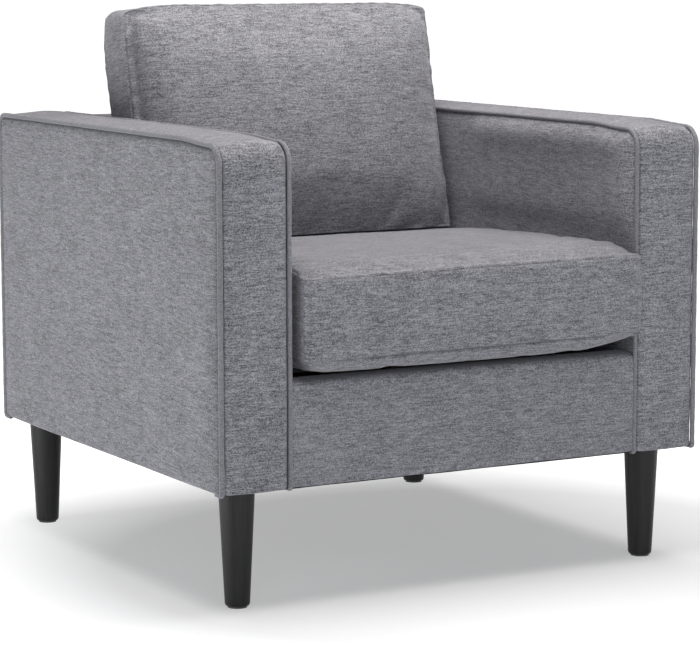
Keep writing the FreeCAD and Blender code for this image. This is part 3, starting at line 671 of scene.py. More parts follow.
# ------------------------------------------------------------------ box cushions
def cushion_mesh(name, hx, hy, radius, top, bottom, band, nrow, pitch=9.0):
    """A box cushion: top panel, boxing and bottom panel as one closed quad mesh.
    hx, hy: half sizes of the seam outline. top(x, y), bottom(x, y): heights of the panels.
    band(t, x, y, nx, ny): outward swell of the boxing at t = 0 (bottom seam) .. 1 (top seam).
    Returns the object and arrays: panel of each face, kind of each vertex, arc length along the seam."""
    fine = sorted([f for f in (0, 1.6, 3.4, 5.6, 8.5, 12.5, 17.5, 24.0) if abs(f - radius) > 1.5 or f == 0] + [radius])
    sx, sy = edge_steps(2 * hx, fine, pitch) - hx, edge_steps(2 * hy, fine, pitch) - hy
    X, Y = np.meshgrid(sx, sy, indexing="ij")
    X, Y = X.copy(), Y.copy()
    for kx in (-1, 1):
        for ky in (-1, 1):
            cx, cy = kx * (hx - radius), ky * (hy - radius)
            dx, dy = (X - cx) * kx, (Y - cy) * ky
            m = (dx > 0) & (dy > 0)
            f = np.where(m, np.maximum(dx, dy) / np.maximum(np.hypot(dx, dy), 1e-9), 1.0)
            X = np.where(m, cx + kx * dx * f, X)
            Y = np.where(m, cy + ky * dy * f, Y)
    n, k = X.shape
    x, y = X.ravel(), Y.ravel()
    # distance to the seam, for the crown
    q = np.stack([np.abs(x) - hx + radius, np.abs(y) - hy + radius])
    dist = -(np.minimum(np.maximum(q[0], q[1]), 0) + np.hypot(np.maximum(q[0], 0), np.maximum(q[1], 0)) - radius)
    dist = np.maximum(dist, 0)
    loop = [(i, 0) for i in range(n - 1)] + [(n - 1, j) for j in range(k - 1)]
    loop += [(i, k - 1) for i in range(n - 1, 0, -1)] + [(0, j) for j in range(k - 1, 0, -1)]
    li = np.array([i * k + j for i, j in loop])
    lx, ly = x[li], y[li]
    tx, ty = np.roll(lx, -1) - np.roll(lx, 1), np.roll(ly, -1) - np.roll(ly, 1)
    ln = np.hypot(tx, ty)
    nx, ny = ty / ln, -tx / ln
    arc = np.concatenate([[0], np.cumsum(np.hypot(np.diff(lx), np.diff(ly)))])
    verts, kind, arcs, faces, panel = [], [], [], [], []
    zt, zb = top(x, y, dist), bottom(x, y, dist)
    for a in range(n * k):
        verts.append((x[a], y[a], zt[a]))
        kind.append(dist[a])
        arcs.append(0.0)
    off_b = len(verts)
    for a in range(n * k):
        verts.append((x[a], y[a], zb[a]))
        kind.append(dist[a])
        arcs.append(0.0)
    off_m = len(verts)
    L = len(li)
    for r in range(1, nrow):
        # rows are closer together near the seams
        t = r / nrow
        t = 0.5 - 0.5 * math.cos(math.pi * t) if nrow > 4 else t
        for c in range(L):
            za, zc = zb[li[c]], zt[li[c]]
            o = band(t, lx[c], ly[c], nx[c], ny[c])
            verts.append((lx[c] + nx[c] * o, ly[c] + ny[c] * o, za + (zc - za) * t))
            kind.append(-min(t, 1 - t) * (zc - za))
            arcs.append(arc[c])
    for i in range(n - 1):
        for j in range(k - 1):
            a = i * k + j
            faces.append((a, a + k, a + k + 1, a + 1))
            panel.append(0)
            b = off_b + a
            faces.append((b, b + 1, b + k + 1, b + k))
            panel.append(1)

    def row(r, c):
        c %= L
        if r == 0:
            return off_b + li[c]
        if r == nrow:
            return li[c]
        return off_m + (r - 1) * L + c

    for r in range(nrow):
        for c in range(L):
            faces.append((row(r, c), row(r, c + 1), row(r + 1, c + 1), row(r + 1, c)))
            panel.append(2)
    ob = mesh_object(name, verts, faces)
    face_attribute(ob, "panel", panel)
    seam_top = np.array(li)
    seam_bottom = np.array(li) + off_b
    return ob, dict(
        kind=np.array(kind), seams=(seam_top, seam_bottom), arc=arc, L=L, off_m=off_m, nrow=nrow, n=n, k=k, off_b=off_b, li=li,
        lx=lx, ly=ly,
    )


def inflate(ob, pin, pressure, frames, shrink, cap, stiff=18.0, bend=0.8, mass=0.25):
    """Runs Blender's Cloth on the cushion's own mesh with the seams held, and applies it. No point moves further than cap mm."""
    rest = coords(ob)
    vg = ob.vertex_groups.new(name="hold")
    for i, w in enumerate(pin):
        if w > 0.001:
            vg.add([i], float(min(w, 1.0)), "REPLACE")
    m = ob.modifiers.new("cloth", "CLOTH")
    s = m.settings
    s.quality = 6
    s.mass = mass
    s.tension_stiffness = s.compression_stiffness = stiff
    s.shear_stiffness = 8.0
    s.bending_stiffness = bend
    s.air_damping = 4.0
    s.use_pressure = True
    s.uniform_pressure_force = pressure
    s.vertex_group_mass = "hold"
    s.pin_stiffness = 1.0
    s.shrink_min = shrink
    s.effector_weights.gravity = 0.0
    m.collision_settings.use_collision = False
    m.point_cache.frame_start, m.point_cache.frame_end = 1, frames + 1
    for f in range(1, frames + 1):
        SC.frame_set(f)
    apply_modifiers(ob)
    SC.frame_set(1)
    now = coords(ob)
    if len(now) != len(rest) or not np.isfinite(now).all():
        set_coords(ob, rest)
        return ob
    d = now - rest
    ln = np.linalg.norm(d, axis=1)
    f = np.where(ln > cap, cap / np.maximum(ln, 1e-9), 1.0)
    set_coords(ob, rest + d * f[:, None])
    ob.vertex_groups.clear()
    return ob


def seam_lines(ob, info):
    """Both sewn seams as densely sampled smooth lines: points, arc length."""
    co = coords(ob)
    pts, arcs = [], []
    for k, seam in enumerate(info["seams"]):
        p = co[seam]
        o, q, r = np.roll(p, 1, axis=0), np.roll(p, -1, axis=0), np.roll(p, -2, axis=0)
        ln = np.linalg.norm(q - p, axis=1)
        s0 = np.concatenate([[0], np.cumsum(ln)])[:-1] + 5000.0 * k
        for i in range(len(p)):
            n = max(1, int(ln[i] / 0.6))
            t = np.arange(n)[:, None] / n
            a = 2 * p[i] + (q[i] - o[i]) * t
            a = a + (2 * o[i] - 5 * p[i] + 4 * q[i] - r[i]) * t**2 + (3 * p[i] - o[i] - 3 * q[i] + r[i]) * t**3
            pts.append(0.5 * a)
            arcs.append(s0[i] + ln[i] * t[:, 0])
    return np.concatenate(pts), np.concatenate(arcs)


def seam_profile(ob, info, groove=1.7, lip=0.9, pucker=0.7, pitch=17.0, seed=1.0, weight=None, reach=16.0):
    """Draws the sewn seams into the surface: a sunk line, a raised lip on each side and small gathers across it, and
    paints shade along the sunk line.
    """
    from mathutils import kdtree

    subdivide(ob, 1)
    pts, arcs = seam_lines(ob, info)
    co = coords(ob)
    n = vertex_normals(ob)
    kd = kdtree.KDTree(len(pts))
    for i, p in enumerate(pts):
        kd.insert(Vector(p), i)
    kd.balance()
    disp, dark = np.zeros(len(co)), np.zeros(len(co))
    for i, p in enumerate(co):
        _, k, d = kd.find(Vector(p))
        # painted shade along the sunk line
        dark[i] = 0.8 * math.exp(-((d / 1.5) ** 2))
        if d > 60:
            continue
        d = max(0.0, d - 0.6)
        s = arcs[k]
        g = noise.noise(Vector((s / pitch, seed, 0.3))) + 0.5 * noise.noise(Vector((s / pitch * 2.3, seed, 4.3)))
        wt = 1.0 if weight is None else weight(p)
        disp[i] = -groove * math.exp(-((d / 1.6) ** 2)) + lip * math.exp(-(((d - 4.2) / 2.4) ** 2))
        disp[i] += wt * pucker * g * math.exp(-d / reach) * (1 - math.exp(-((d / 3.0) ** 2)))
    set_coords(ob, co + n * disp[:, None])
    set_painted_shade_and_highlight(ob, dark)


# ---- seat cushion
SX0, SX1 = sl[0], sh[0]
SYC, SHY = (sl[1] + sh[1]) / 2, (sh[1] - sl[1]) / 2
SHX = (sh[0] - sl[0]) / 2


def seat_crown(gy):
    """Height of the cushion's top along its depth: fullest towards the front, sunk under the back cushion."""
    return np.interp(gy, [-410, -330, -183, -60, 40, 110, 150, 220], [485.5, 484.5, 481.0, 477.5, 472.0, 465.0, 461.5, 455.0])


def seat_top(x, y, d):
    gy = y + SYC
    crown = seat_crown(gy)
    front = 468.5 + 2.6 * (x / SHX)
    side = np.interp(gy, [-403, -385, -360, -325, 211], [0, 2.0, 7.0, 11.5, 12.0])
    seam = front + np.where(np.abs(x) > SHX - 60, side, 12.0 * smooth01(-380, -300, gy)) + np.minimum(crown - 484.0, 0)
    seam = np.minimum(seam, crown - 2.0)
    side_k = 1 - np.exp(-((np.maximum(SHX - 3.0 - np.abs(x), 0) / 17.0) ** 1.15))
    front_k = 1 - np.exp(-((np.maximum(y + SHY - 7.0, 0) / 34.0) ** 1.2))
    rear_k = 1 - np.exp(-((np.maximum(SHY - 7.0 - y, 0) / 20.0) ** 1.2))
    return seam + (crown - seam) * side_k * front_k * rear_k


def seat_bottom(x, y, d):
    front = np.exp(-(((y + SHY) / 60.0) ** 2))
    z = 352.5 + 2.5 * (x / SHX) * front
    low = 335.0 - 0.5 * (1 - front)
    cr = np.hypot(SHX - x, y + SHY)
    cl = np.hypot(SHX + x, y + SHY)
    low = low + 12.0 * np.exp(-((cr / 70.0) ** 2)) + 8.5 * np.exp(-((cl / 38.0) ** 2))
    k = 1 - np.exp(-((d / 6.0) ** 1.35))
    return z * (1 - k) + low * k


def seat_band(t, x, y, nx, ny):
    swell = 4.0 * math.sin(math.pi * t) ** 0.8
    if abs(nx) > 0.7:
        swell *= 0.4
    return swell


seat, si = cushion_mesh("seat_cushion_upholstered", SHX - 2.0, SHY - 4.5, 6.5, seat_top, seat_bottom, seat_band, 14, 9.0)
fix_normals(seat)
pin = np.full(len(seat.data.vertices), 0.12)
pin[si["off_m"]:] = 0.55
pin[np.concatenate(si["seams"])] = 1.0
inflate(seat, pin, 3.6, 20, -0.012, 4.0)
co = coords(seat)
fr = np.interp(co[:, 1] + SHY, [0, 5, 14, 20, 28, 40, 70, 130, 230], [17.5, 16.5, 12.0, 10.5, 12.5, 16.5, 17.0, 10.0, 0.0])
co[:, 0] += fr * np.exp(-(((co[:, 0] + SHX) / 70.0) ** 2)) + 4.6 * np.exp(-(((co[:, 0] - SHX) / 26.0) ** 2)) * (co[:, 1] + SYC < FY - 2)
set_coords(seat, co)
seam_profile(seat, si, groove=1.7, lip=0.6, pucker=0.55, pitch=26.0, seed=2.0)
co = coords(seat)
# painted highlight along the upright front edges, added to the painted shade in the seams
seat_painted_shade_and_highlight = np.zeros(len(co), np.float32)
seat.data.attributes["painted_shade_and_highlight"].data.foreach_get("value", seat_painted_shade_and_highlight)
for k in (-1, 1):
    ex = co[co[:, 1] < -SHY + 12.0, 0]
    ex = ex.max() if k > 0 else ex.min()
    seat_painted_shade_and_highlight -= 0.7 * np.exp(-(((co[:, 0] - ex) / 2.4) ** 2)) * np.exp(-(np.maximum(co[:, 1] + SHY - 7.5, 0) / 3.0) ** 2) * (seat_painted_shade_and_highlight < 0.1)
# painted shade over the top panel, above the front seam
seat_painted_shade_and_highlight += 0.12 * smooth01(469, 476, co[:, 2])
set_painted_shade_and_highlight(seat, seat_painted_shade_and_highlight)
nn = vertex_normals(seat)
co += nn * (0.9 * fbm(co, 120.0, 6.0, 3) + 0.25 * fbm(co, 30.0, 2.0, 2))[:, None]
co[:, 1] += SYC
# keep clear of the arms, the deck and the back cushion's space
wide = np.where(co[:, 1] < FY - 3, 6.0, 0.4)
co[:, 0] = np.clip(co[:, 0], SX0 - wide, SX1 + wide)
co[:, 2] = np.maximum(co[:, 2], sl[2] + 0.7)
co[:, 1] = np.minimum(co[:, 1], sh[1] + 0.2)
set_coords(seat, co)
per = 2 * (SHX + SHY)


def seat_cloth(p, q):
    # on the panels the weave follows the slope down to the seams
    rise = (q[:, 2] - 478.0) if p == 0 else (336.0 - q[:, 2])
    if p < 2:
        side_, end = np.clip(q[:, 0] / 200.0, -1, 1), np.clip((q[:, 1] - SYC) / 200.0, -1, 1)
        return q[:, 0] - side_ * rise, q[:, 1] - end * rise, 40.0 + p
    # boxing: distance round the cushion, continuous at the front corners
    x, y = q[:, 0], q[:, 1] - SYC
    ang = np.where(
        np.abs(x) / SHX > np.abs(y) / SHY,
        np.where(x > 0, SHX + (y + SHY), -SHX - (y + SHY)),
        np.where(y < 0, x, 2000.0 - x),
    )
    return ang, q[:, 2], 42.0


cloth_coords(seat, seat_cloth)
dress(seat, M_FAB, "seat_cushion")
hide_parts("seat_cushion_cover", "seat_cushion_foam")


# ---- back cushion, made upright in its own plane and then leaned back
PX = 272.0
P_LOW, P_HIGH = -216.0, 154.0     # along the lean, from the height of 670 mm
PHY = (P_HIGH - P_LOW) / 2
PC = (P_HIGH + P_LOW) / 2
MIDY, MIDZ = 202.0, 670.0


def pillow_face(x, y, d, sign):
    return sign * (40.0 + 34.0 * (1 - np.exp(-((d / 50.0) ** 1.1))))


def pillow_band(t, x, y, nx, ny):
    return (3.5 if nx > -0.7 else -2.5) * math.sin(math.pi * t)


pillow, pi_ = cushion_mesh(
    "back_cushion_upholstered", PX - 3.0, PHY, 5.0,
    lambda x, y, d: pillow_face(x, y, d, 1), lambda x, y, d: pillow_face(x, y, d, -1), pillow_band, 12, 9.0,
)
fix_normals(pillow)
co = coords(pillow)
# the seam outline swells on one side between the corners, and its top corners are pulled down
u, v = co[:, 0] / PX, co[:, 1] / PHY
co[:, 0] += np.where(u > 0, 7.0 * (1 - v**6), -5.0 * smooth01(0.1, -0.9, v)) * np.abs(u) ** 3
drop = 3.0 + 8.5 * smooth01(-20, 30, co[:, 2])
co[:, 1] += np.where(v > 0, (4.5 - drop * np.abs(u) ** 8) * np.abs(v) ** 3, 2.0 * (1 - u**2) * v**3)
set_coords(pillow, co)
pin = np.full(len(pillow.data.vertices), 0.04)
pin[pi_["off_m"]:] = np.where(co[pi_["off_m"]:, 0] < -PX + 20, 0.9, 0.5)
pin[np.concatenate(pi_["seams"])] = 1.0
inflate(pillow, pin, 3.6, 22, -0.02, 9.0, stiff=14.0, bend=0.5)
# the face dips before it swells beside the side seams, more in some places than in others
co = coords(pillow)
d = np.minimum(PX + 2.0 - np.abs(co[:, 0]), PHY - co[:, 1])
face = smooth01(36, 41, co[:, 2]) * np.clip(d / 4.0, 0, 1)
dent = np.array([noise.noise(Vector((y / 60.0, 2.0 if x > 0 else 7.0, 0.0))) for x, y in co[:, :2]])
side = smooth01(PX - 80, PX - 40, np.abs(co[:, 0]))
co[:, 2] -= face * side * np.where(co[:, 0] > 0, 1.0, 0.35) * (8.0 + 6.0 * dent) * np.exp(-(((d - 12.0) / 9.5) ** 2))
set_coords(pillow, co)
seam_profile(
    pillow, pi_, groove=1.8, lip=0.8, pucker=1.3, pitch=19.0, seed=5.0, reach=15.0,
    weight=lambda p: 0.12 + 0.6 * smooth01(PX - 70, PX - 10, abs(p[0])) * (1 if p[2] > 41 else 0.15) + 0.5 * float(p[1] < -PHY + 60),
)
co = coords(pillow)
# painted shade in the hollow beside that seam, patchy along it
painted_shade_band = np.zeros(len(co), np.float32)
pillow.data.attributes["painted_shade_and_highlight"].data.foreach_get("value", painted_shade_band)
shade_noise = np.array([noise.noise(Vector((y / 45.0, x / 60.0, 3.0))) for x, y in co[:, :2]])
d = PX + 4.0 - co[:, 0]
painted_shade_band += np.clip(smooth01(38, 43, co[:, 2]) * (0.46 + 0.4 * shade_noise) * np.exp(-(((d - 11.0) / 12.0) ** 2)) * smooth01(PHY, PHY - 12, co[:, 1]), 0, 0.65)
set_painted_shade_and_highlight(pillow, np.minimum(painted_shade_band, 1.0))
nn = vertex_normals(pillow)
co += nn * (2.0 * fbm(co, 150.0, 11.0, 3) + 0.35 * fbm(co, 45.0, 3.0, 2))[:, None]
cs, sn = math.cos(LEAN), math.sin(LEAN)
# local x -> X, local y -> up along the lean, local z -> forward (away from the back)
s_, n_ = co[:, 1] + PC, co[:, 2]
Yw = MIDY + s_ * sn - n_ * cs
Zw = MIDZ + s_ * cs + n_ * sn
co = np.stack([-co[:, 0], Yw, Zw], 1)
# it rests on the seat cushion and against the inner back
seat_bvh = BVHTree.FromPolygons([Vector(p) for p in coords(seat)], [tuple(p.vertices) for p in seat.data.polygons])


def seat_height(x, y):
    """Height of the seat cushion's top at rest, in mm."""
    hit = seat_bvh.ray_cast(Vector((min(max(x, -SHX + 9), SHX - 9), min(max(y, sl[1] + 9), sh[1] - 9), 700.0)), Vector((0, 0, -1)))
    return hit[0][2] if hit[0] is not None else seat_crown(y)


for i in np.nonzero(co[:, 2] < 505)[0]:
    z0 = seat_height(co[i, 0], co[i, 1]) + 0.9
    if co[i, 2] < z0 + 6:
        co[i, 2] = max(z0 + 6 * math.exp((co[i, 2] - z0 - 6) / 6.0), z0)
limit = back_face(co[:, 2]) - 1.2
over = co[:, 1] > limit - 8
co[:, 1] = np.where(over, limit - 8 + 8 * (1 - np.exp(-(co[:, 1] - limit + 8) / 8.0)), co[:, 1])
set_coords(pillow, co)
fix_normals(pillow)


def pillow_cloth(p, q):
    s = (q[:, 2] - MIDZ) * cs + (q[:, 1] - MIDY) * sn
    n = -(q[:, 1] - MIDY) * cs + (q[:, 2] - MIDZ) * sn
    if p == 0:
        return q[:, 0], s, 50.0
    if p == 1:
        return q[:, 0], s, 51.0
    side_ = np.abs(q[:, 0]) / PX > np.abs(s - PC) / PHY
    return np.where(side_, n, q[:, 0]), np.where(side_, s, n), 52.0


cloth_coords(pillow, pillow_cloth)
dress(pillow, M_FAB, "back_cushion")
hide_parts("back_cushion_cover", "back_cushion_fill")


# ------------------------------------------------------------------ front rail
def extruded_profile(name, prof, x0, x1, xs_fine=(0, 1.5, 3.5, 6, 10, 16, 24), pitch=14.0, closed=True, end_round=3.0, seed=1.0, amp=0.4):
    """A closed outline in the Y-Z plane run along X, with softly rounded ends."""
    prof = np.array(prof, float)
    L = x1 - x0
    xs = x0 + edge_steps(L, xs_fine, pitch)
    c = prof.mean(0)
    verts, faces = [], []
    m = len(prof)
    for x in xs:
        e = min(x - x0, x1 - x)
        pull = end_round * (1 - math.sqrt(max(0.0, 1 - max(0.0, 1 - e / end_round) ** 2))) if e < end_round else 0.0
        for p in prof:
            d = p - c
            ln = np.hypot(*d)
            q = p - d / ln * pull
            verts.append((x, q[0], q[1]))
    for i in range(len(xs) - 1):
        for j in range(m):
            a, b = i * m + j, i * m + (j + 1) % m
            faces.append((a, b, b + m, a + m))
    faces.append(tuple(range(m)))
    faces.append(tuple((len(xs) - 1) * m + j for j in range(m))[::-1])
    ob = mesh_object(name, verts, faces)
    fix_normals(ob)
    if amp:
        co = coords(ob)
        n = vertex_normals(ob)
        set_coords(ob, co + n * (amp * fbm(co, 130.0, seed, 2))[:, None])
    return ob


def round_poly(points, radii, seg=6):
    """Rounds the corners of a polygon; edges are divided so that they stay even."""
    out = []
    n = len(points)
    P = [np.array(p, float) for p in points]
    for i in range(n):
        a, b, c = P[i - 1], P[i], P[(i + 1) % n]
        r = radii[i]
        u, v = (a - b) / np.linalg.norm(a - b), (c - b) / np.linalg.norm(c - b)
        if r <= 0:
            out.append(b)
            continue
        ang = math.acos(np.clip(u @ v, -1, 1))
        t = r / math.tan(ang / 2)
        p0, p1 = b + u * t, b + v * t
        bis = (u + v) / np.linalg.norm(u + v)
        ce = b + bis * (r / math.sin(ang / 2))
        a0 = math.atan2(*(p0 - ce)[::-1])
        a1 = math.atan2(*(p1 - ce)[::-1])
        da = (a1 - a0 + math.pi) % (2 * math.pi) - math.pi
        for k in range(seg + 1):
            w = a0 + da * k / seg
            out.append(ce + r * np.array([math.cos(w), math.sin(w)]))
    res = []
    for i in range(len(out)):
        a, b = out[i], out[(i + 1) % len(out)]
        res.append(a)
        ln = np.linalg.norm(b - a)
        k = int(ln // 14)
        for j in range(1, k + 1):
            res.append(a + (b - a) * j / (k + 1))
    return res


rail_prof = round_poly(
    [(rl[1] + 0.2, BASE + 1.3), (rh[1], BASE + 3.8), (rh[1], rh[2] - 3.5), (rl[1] + 0.2, rh[2] - 5.0)], [5, 1.0, 3.0, 10.0]
)
# a slight crown on the front face
rail_prof = [
    (p[0] - 2.2 * max(0.0, math.sin(math.pi * (p[1] - rl[2]) / (rh[2] - rl[2]))) ** 0.8 if p[0] < rl[1] + 6 else p[0], p[1])
    for p in rail_prof
]
rail = extruded_profile("front_rail_upholstered", rail_prof, -IN + 1.0, IN - 1.0, end_round=5.0, seed=4.0, amp=0.5)
cloth_coords(rail, lambda p, q: (q[:, 0], np.where(q[:, 1] < rl[1] + 8, q[:, 2], rh[2] + q[:, 1] - rl[1]), 60.0))
subdivide(rail, 1)
dress(rail, M_FAB, "chair")
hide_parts("front_rail_cover", "front_rail_padding")


# ------------------------------------------------------------------ back
def back_slab():
    """Inner back, rounded top and turn-over of the back, between the arms, with a soft pad over it."""
    zb = bl[2]
    prof = round_poly(
        [
            (back_face(zb), zb), (back_face(bh[2] + 1), bh[2] + 1), (RY - 1.0, bh[2]), (RY - 1.0, bh[2] - 14),
            (back_face(bh[2] - 18) + 24, bh[2] - 18), (back_face(zb) + 24, zb),
        ],
        [3, 16, 7, 2, 3, 3],
    )
    return prof


back = extruded_profile("inner_back_upholstered", back_slab(), -IN + 0.2, IN - 0.2, end_round=6.0, seed=9.0, amp=0.8)
cloth_coords(back, lambda p, q: (q[:, 0], np.where(q[:, 2] > bh[2] - 8, bh[2] + q[:, 1] - 280, q[:, 2]), 70.0))
subdivide(back, 1)
dress(back, M_FAB, "chair")
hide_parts("back_inner_cover", "back_padding")

# outside back: a stretched panel with rolled edges
ow, oz0, oz1 = IN - 0.4, BASE + 0.4, bh[2] - 3.0
Xg, Zg, fg, (gn, gk) = panel_grid(-ow, ow, oz0, oz1, (3, 3, 5, 5), pitch=16.0)
do = np.maximum(rounded_sdf(Xg, Zg, -ow, ow, oz0, oz1, (3, 3, 5, 5)), 0)
yo = (RY - 1.6) + 1.6 * (1 - np.exp(-((do / 30.0) ** 1.2))) - 3.2 * np.exp(-((do / 2.4) ** 2))
yo = np.maximum(yo, mm("back_outer_board")[1][1] + 0.35)
vo = np.stack([Xg, yo, Zg], 1)
outback = mesh_object("outside_back_panel", vo, [f[::-1] for f in fg])
co = coords(outback)
co[:, 1] += 0.9 * fbm(co, 190.0, 12.0, 2) * np.clip(do / 30.0, 0, 1) + 0.35 * np.exp(-do / 16.0) * np.array(
    [noise.noise(Vector((p[0] / 21.0, p[2] / 21.0, 1.0))) for p in co]
)
set_coords(outback, co)
# painted shade along the rolled edges
set_painted_shade_and_highlight(outback, 0.75 * np.exp(-((do / 2.2) ** 2)))
cloth_coords(outback, lambda p, q: (q[:, 0], q[:, 2], 75.0))
subdivide(outback, 1)
dress(outback, M_FAB, "chair")
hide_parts("back_outer_cover")

# ------------------------------------------------------------------ deck and dust cover
dk0, dk1 = mm("deck_cloth")


def sheet_mesh(name, x0, x1, y0, y1, z, sag, pitch, holes=(), bumps=None, seed=1.0):
    nx, ny = int((x1 - x0) / pitch), int((y1 - y0) / pitch)
    xs, ys = np.linspace(x0, x1, nx + 1), np.linspace(y0, y1, ny + 1)
    verts, faces = [], []
    for x in xs:
        for y in ys:
            u, v = (x - x0) / (x1 - x0), (y - y0) / (y1 - y0)
            zz = z - sag * (math.sin(math.pi * u) * math.sin(math.pi * v)) ** 0.7
            if bumps:
                zz += bumps(x, y)
            zz += 0.5 * noise.noise(Vector((x / 70.0, y / 70.0, seed)))
            verts.append((x, y, zz))
    for i in range(nx):
        for j in range(ny):
            cx, cy = (xs[i] + xs[i + 1]) / 2, (ys[j] + ys[j + 1]) / 2
            if any(abs(cx - hx) < h and abs(cy - hy) < h for hx, hy, h in holes):
                continue
            a = i * (ny + 1) + j
            faces.append((a, a + ny + 1, a + ny + 2, a + 1))
    used = sorted(set(i for f in faces for i in f))
    remap = {o: k for k, o in enumerate(used)}
    ob = mesh_object(name, np.array(verts)[used], [tuple(remap[i] for i in f) for f in faces])
    return ob


deck = sheet_mesh(
    "deck_cloth_stretched", dk0[0] + 1, dk1[0] - 1, dk0[1], dk1[1] + 8, dk1[2] - 1.2, 5.0, 9.0,
    bumps=lambda x, y: 0.9 * math.cos(x / 78.0 * math.pi / 2) ** 2, seed=3.0,
)
cloth_coords(deck, lambda p, q: (q[:, 0], q[:, 1], 80.0))
dress(deck, M_DECK, "chair")
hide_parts("deck_cloth", "deck_pad")

du0, du1 = mm("dust_cover")
p0, p1 = mm("leg_plates")
ph_ = 33.0
holes = [(sx * (p1[0] - ph_), y, 37.0) for sx in (-1, 1) for y in (p0[1] + ph_, p1[1] - ph_)]
dust = sheet_mesh("dust_cover_stretched", du0[0], du1[0], du0[1], du1[1], du0[2] + 0.1, 2.5, 7.0, holes=holes, seed=6.0)
area = sum(p.area for p in dust.data.polygons)
dress(dust, M_DUST, "chair")
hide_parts("dust_cover")


# ------------------------------------------------------------------ legs
def lathe(name, cx, cy, profile, seg=56):
    verts, faces = [], []
    for r, z in profile:
        for k in range(seg):
            a = 2 * math.pi * k / seg
            verts.append((cx + r * math.cos(a), cy + r * math.sin(a), z))
    for i in range(len(profile) - 1):
        for k in range(seg):
            a, b = i * seg + k, i * seg + (k + 1) % seg
            faces.append((a, b, b + seg, a + seg))
    faces.append(tuple(range(seg))[::-1])
    faces.append(tuple((len(profile) - 1) * seg + k for k in range(seg)))
    ob = mesh_object(name, verts, faces)
    fix_normals(ob)
    return ob


for w in ("front_left", "front_right", "rear_left", "rear_right"):
    lo, hi = mm("leg_" + w)
    cx, cy = (lo[0] + hi[0]) / 2, (lo[1] + hi[1]) / 2
    rt, zt, zb = (hi[0] - lo[0]) / 2, hi[2], lo[2]
    rf = 18.0
    prof = [(rf - 4.2, zb), (rf - 2.6, zb + 0.35), (rf - 1.2, zb + 1.3), (rf - 0.35, zb + 2.9), (rf, zb + 5.0)]
    for k in range(1, 13):
        t = k / 12
        prof.append((rf + (rt - 1.0 - rf) * t, zb + 5.0 + (zt - 4.0 - zb - 5.0) * t))
    prof += [(rt - 0.75, zt - 2.4), (rt - 0.9, zt - 1.0), (rt - 1.6, zt)]
    leg = lathe("turned_leg_" + w, cx, cy, prof)
    # keep the flat faces at both ends crisp
    me = leg.data
    for p in me.polygons:
        if len(p.vertices) > 4:
            p.use_smooth = False
    dress(leg, M_LEG, "chair")
    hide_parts("leg_" + w)


# ------------------------------------------------------------------ zips
def zip_run(name, centre, along, across, out, length, body, node):
    """Zip tape with its coil of teeth, on a line through centre. along, across, out are unit vectors."""
    c, a, b, o = (np.array(v, float) for v in (centre, along, across, out))
    verts, faces = [], []
    prof = [(-6, 0), (-2.6, 0.25), (-2.4, 0.9), (-0.4, 1.15), (0, 0.75), (0.4, 1.15), (2.4, 0.9), (2.6, 0.25), (6, 0)]
    n = int(length / 2.0)
    for i in range(n + 1):
        t = -length / 2 + length * i / n
        for j, (u, h) in enumerate(prof):
            hh = h * (1.0 if i % 2 == 0 or j in (0, 1, 7, 8) else 0.45)
            verts.append(c + a * t + b * u + o * hh)
    m = len(prof)
    for i in range(n):
        for j in range(m - 1):
            k = i * m + j
            faces.append((k, k + 1, k + m + 1, k + m))
    ob = mesh_object(name, verts, faces)
    dress(ob, M_ZIPT, body)
    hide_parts(node)
    return ob


def zip_slider(name, centre, along, across, out, body, node):
    """Slider body with its bridge and a pull tab lying along the zip."""
    c, a, b, o = (np.array(v, float) for v in (centre, along, across, out))
    bm = bmesh.new()

    def slab(cu, cv, ch, du, dv, dh, r):
        geo = bmesh.ops.create_cube(bm, size=1.0)
        vs = geo["verts"]
        for v in vs:
            p = c + a * (cu + v.co.x * du) + b * (cv + v.co.y * dv) + o * (ch + v.co.z * dh)
            v.co = Vector(p * MM)
        bm.normal_update()
        es = list({e for v in vs for e in v.link_edges})
        bmesh.ops.bevel(bm, geom=es, offset=r * MM, segments=3, affect="EDGES", profile=0.6)

    slab(0, 0, 1.1, 9.5, 8.0, 1.6, 0.7)
    slab(0.5, 0, 2.6, 5.5, 2.0, 1.6, 0.5)
    slab(-12.5, 0, 2.2, 17.0, 4.4, 1.0, 0.45)
    me = bpy.data.meshes.new(name)
    bm.to_mesh(me)
    bm.free()
    ob = bpy.data.objects.new(name, me)
    SC.collection.objects.link(ob)
    fix_normals(ob)
    ob.data.polygons.foreach_set("use_smooth", [True] * len(ob.data.polygons))
    dress(ob, M_ZIPM, body)
    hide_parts(node)
    return ob


z0, z1 = mm("seat_cushion_zip")
zc = (z0 + z1) / 2
zip_run("seat_zip_chain", (0, sh[1] + 0.3, zc[2]), (1, 0, 0), (0, 0, 1), (0, 1, 0), z1[0] - z0[0], "seat_cushion", "seat_cushion_zip")
q0, q1 = mm("seat_zip_slider")
zip_slider("seat_zip_slider_and_pull", (q1[0] - 7, q0[1] - 0.2, zc[2]), (1, 0, 0), (0, 0, 1), (0, 1, 0), "seat_zip", "seat_zip_slider")
z0, z1 = mm("back_cushion_zip")
zc = (z0 + z1) / 2
zip_run("back_zip_chain", (0, zc[1], z1[2] - 1.0), (1, 0, 0), (0, 1, 0), (0, 0, -1), z1[0] - z0[0], "back_cushion", "back_cushion_zip")
q0, q1 = mm("back_zip_slider")
zip_slider("back_zip_slider_and_pull", (q1[0] - 7, zc[1], q1[2] + 0.2), (1, 0, 0), (0, 1, 0), (0, 0, -1), "back_zip", "back_zip_slider")

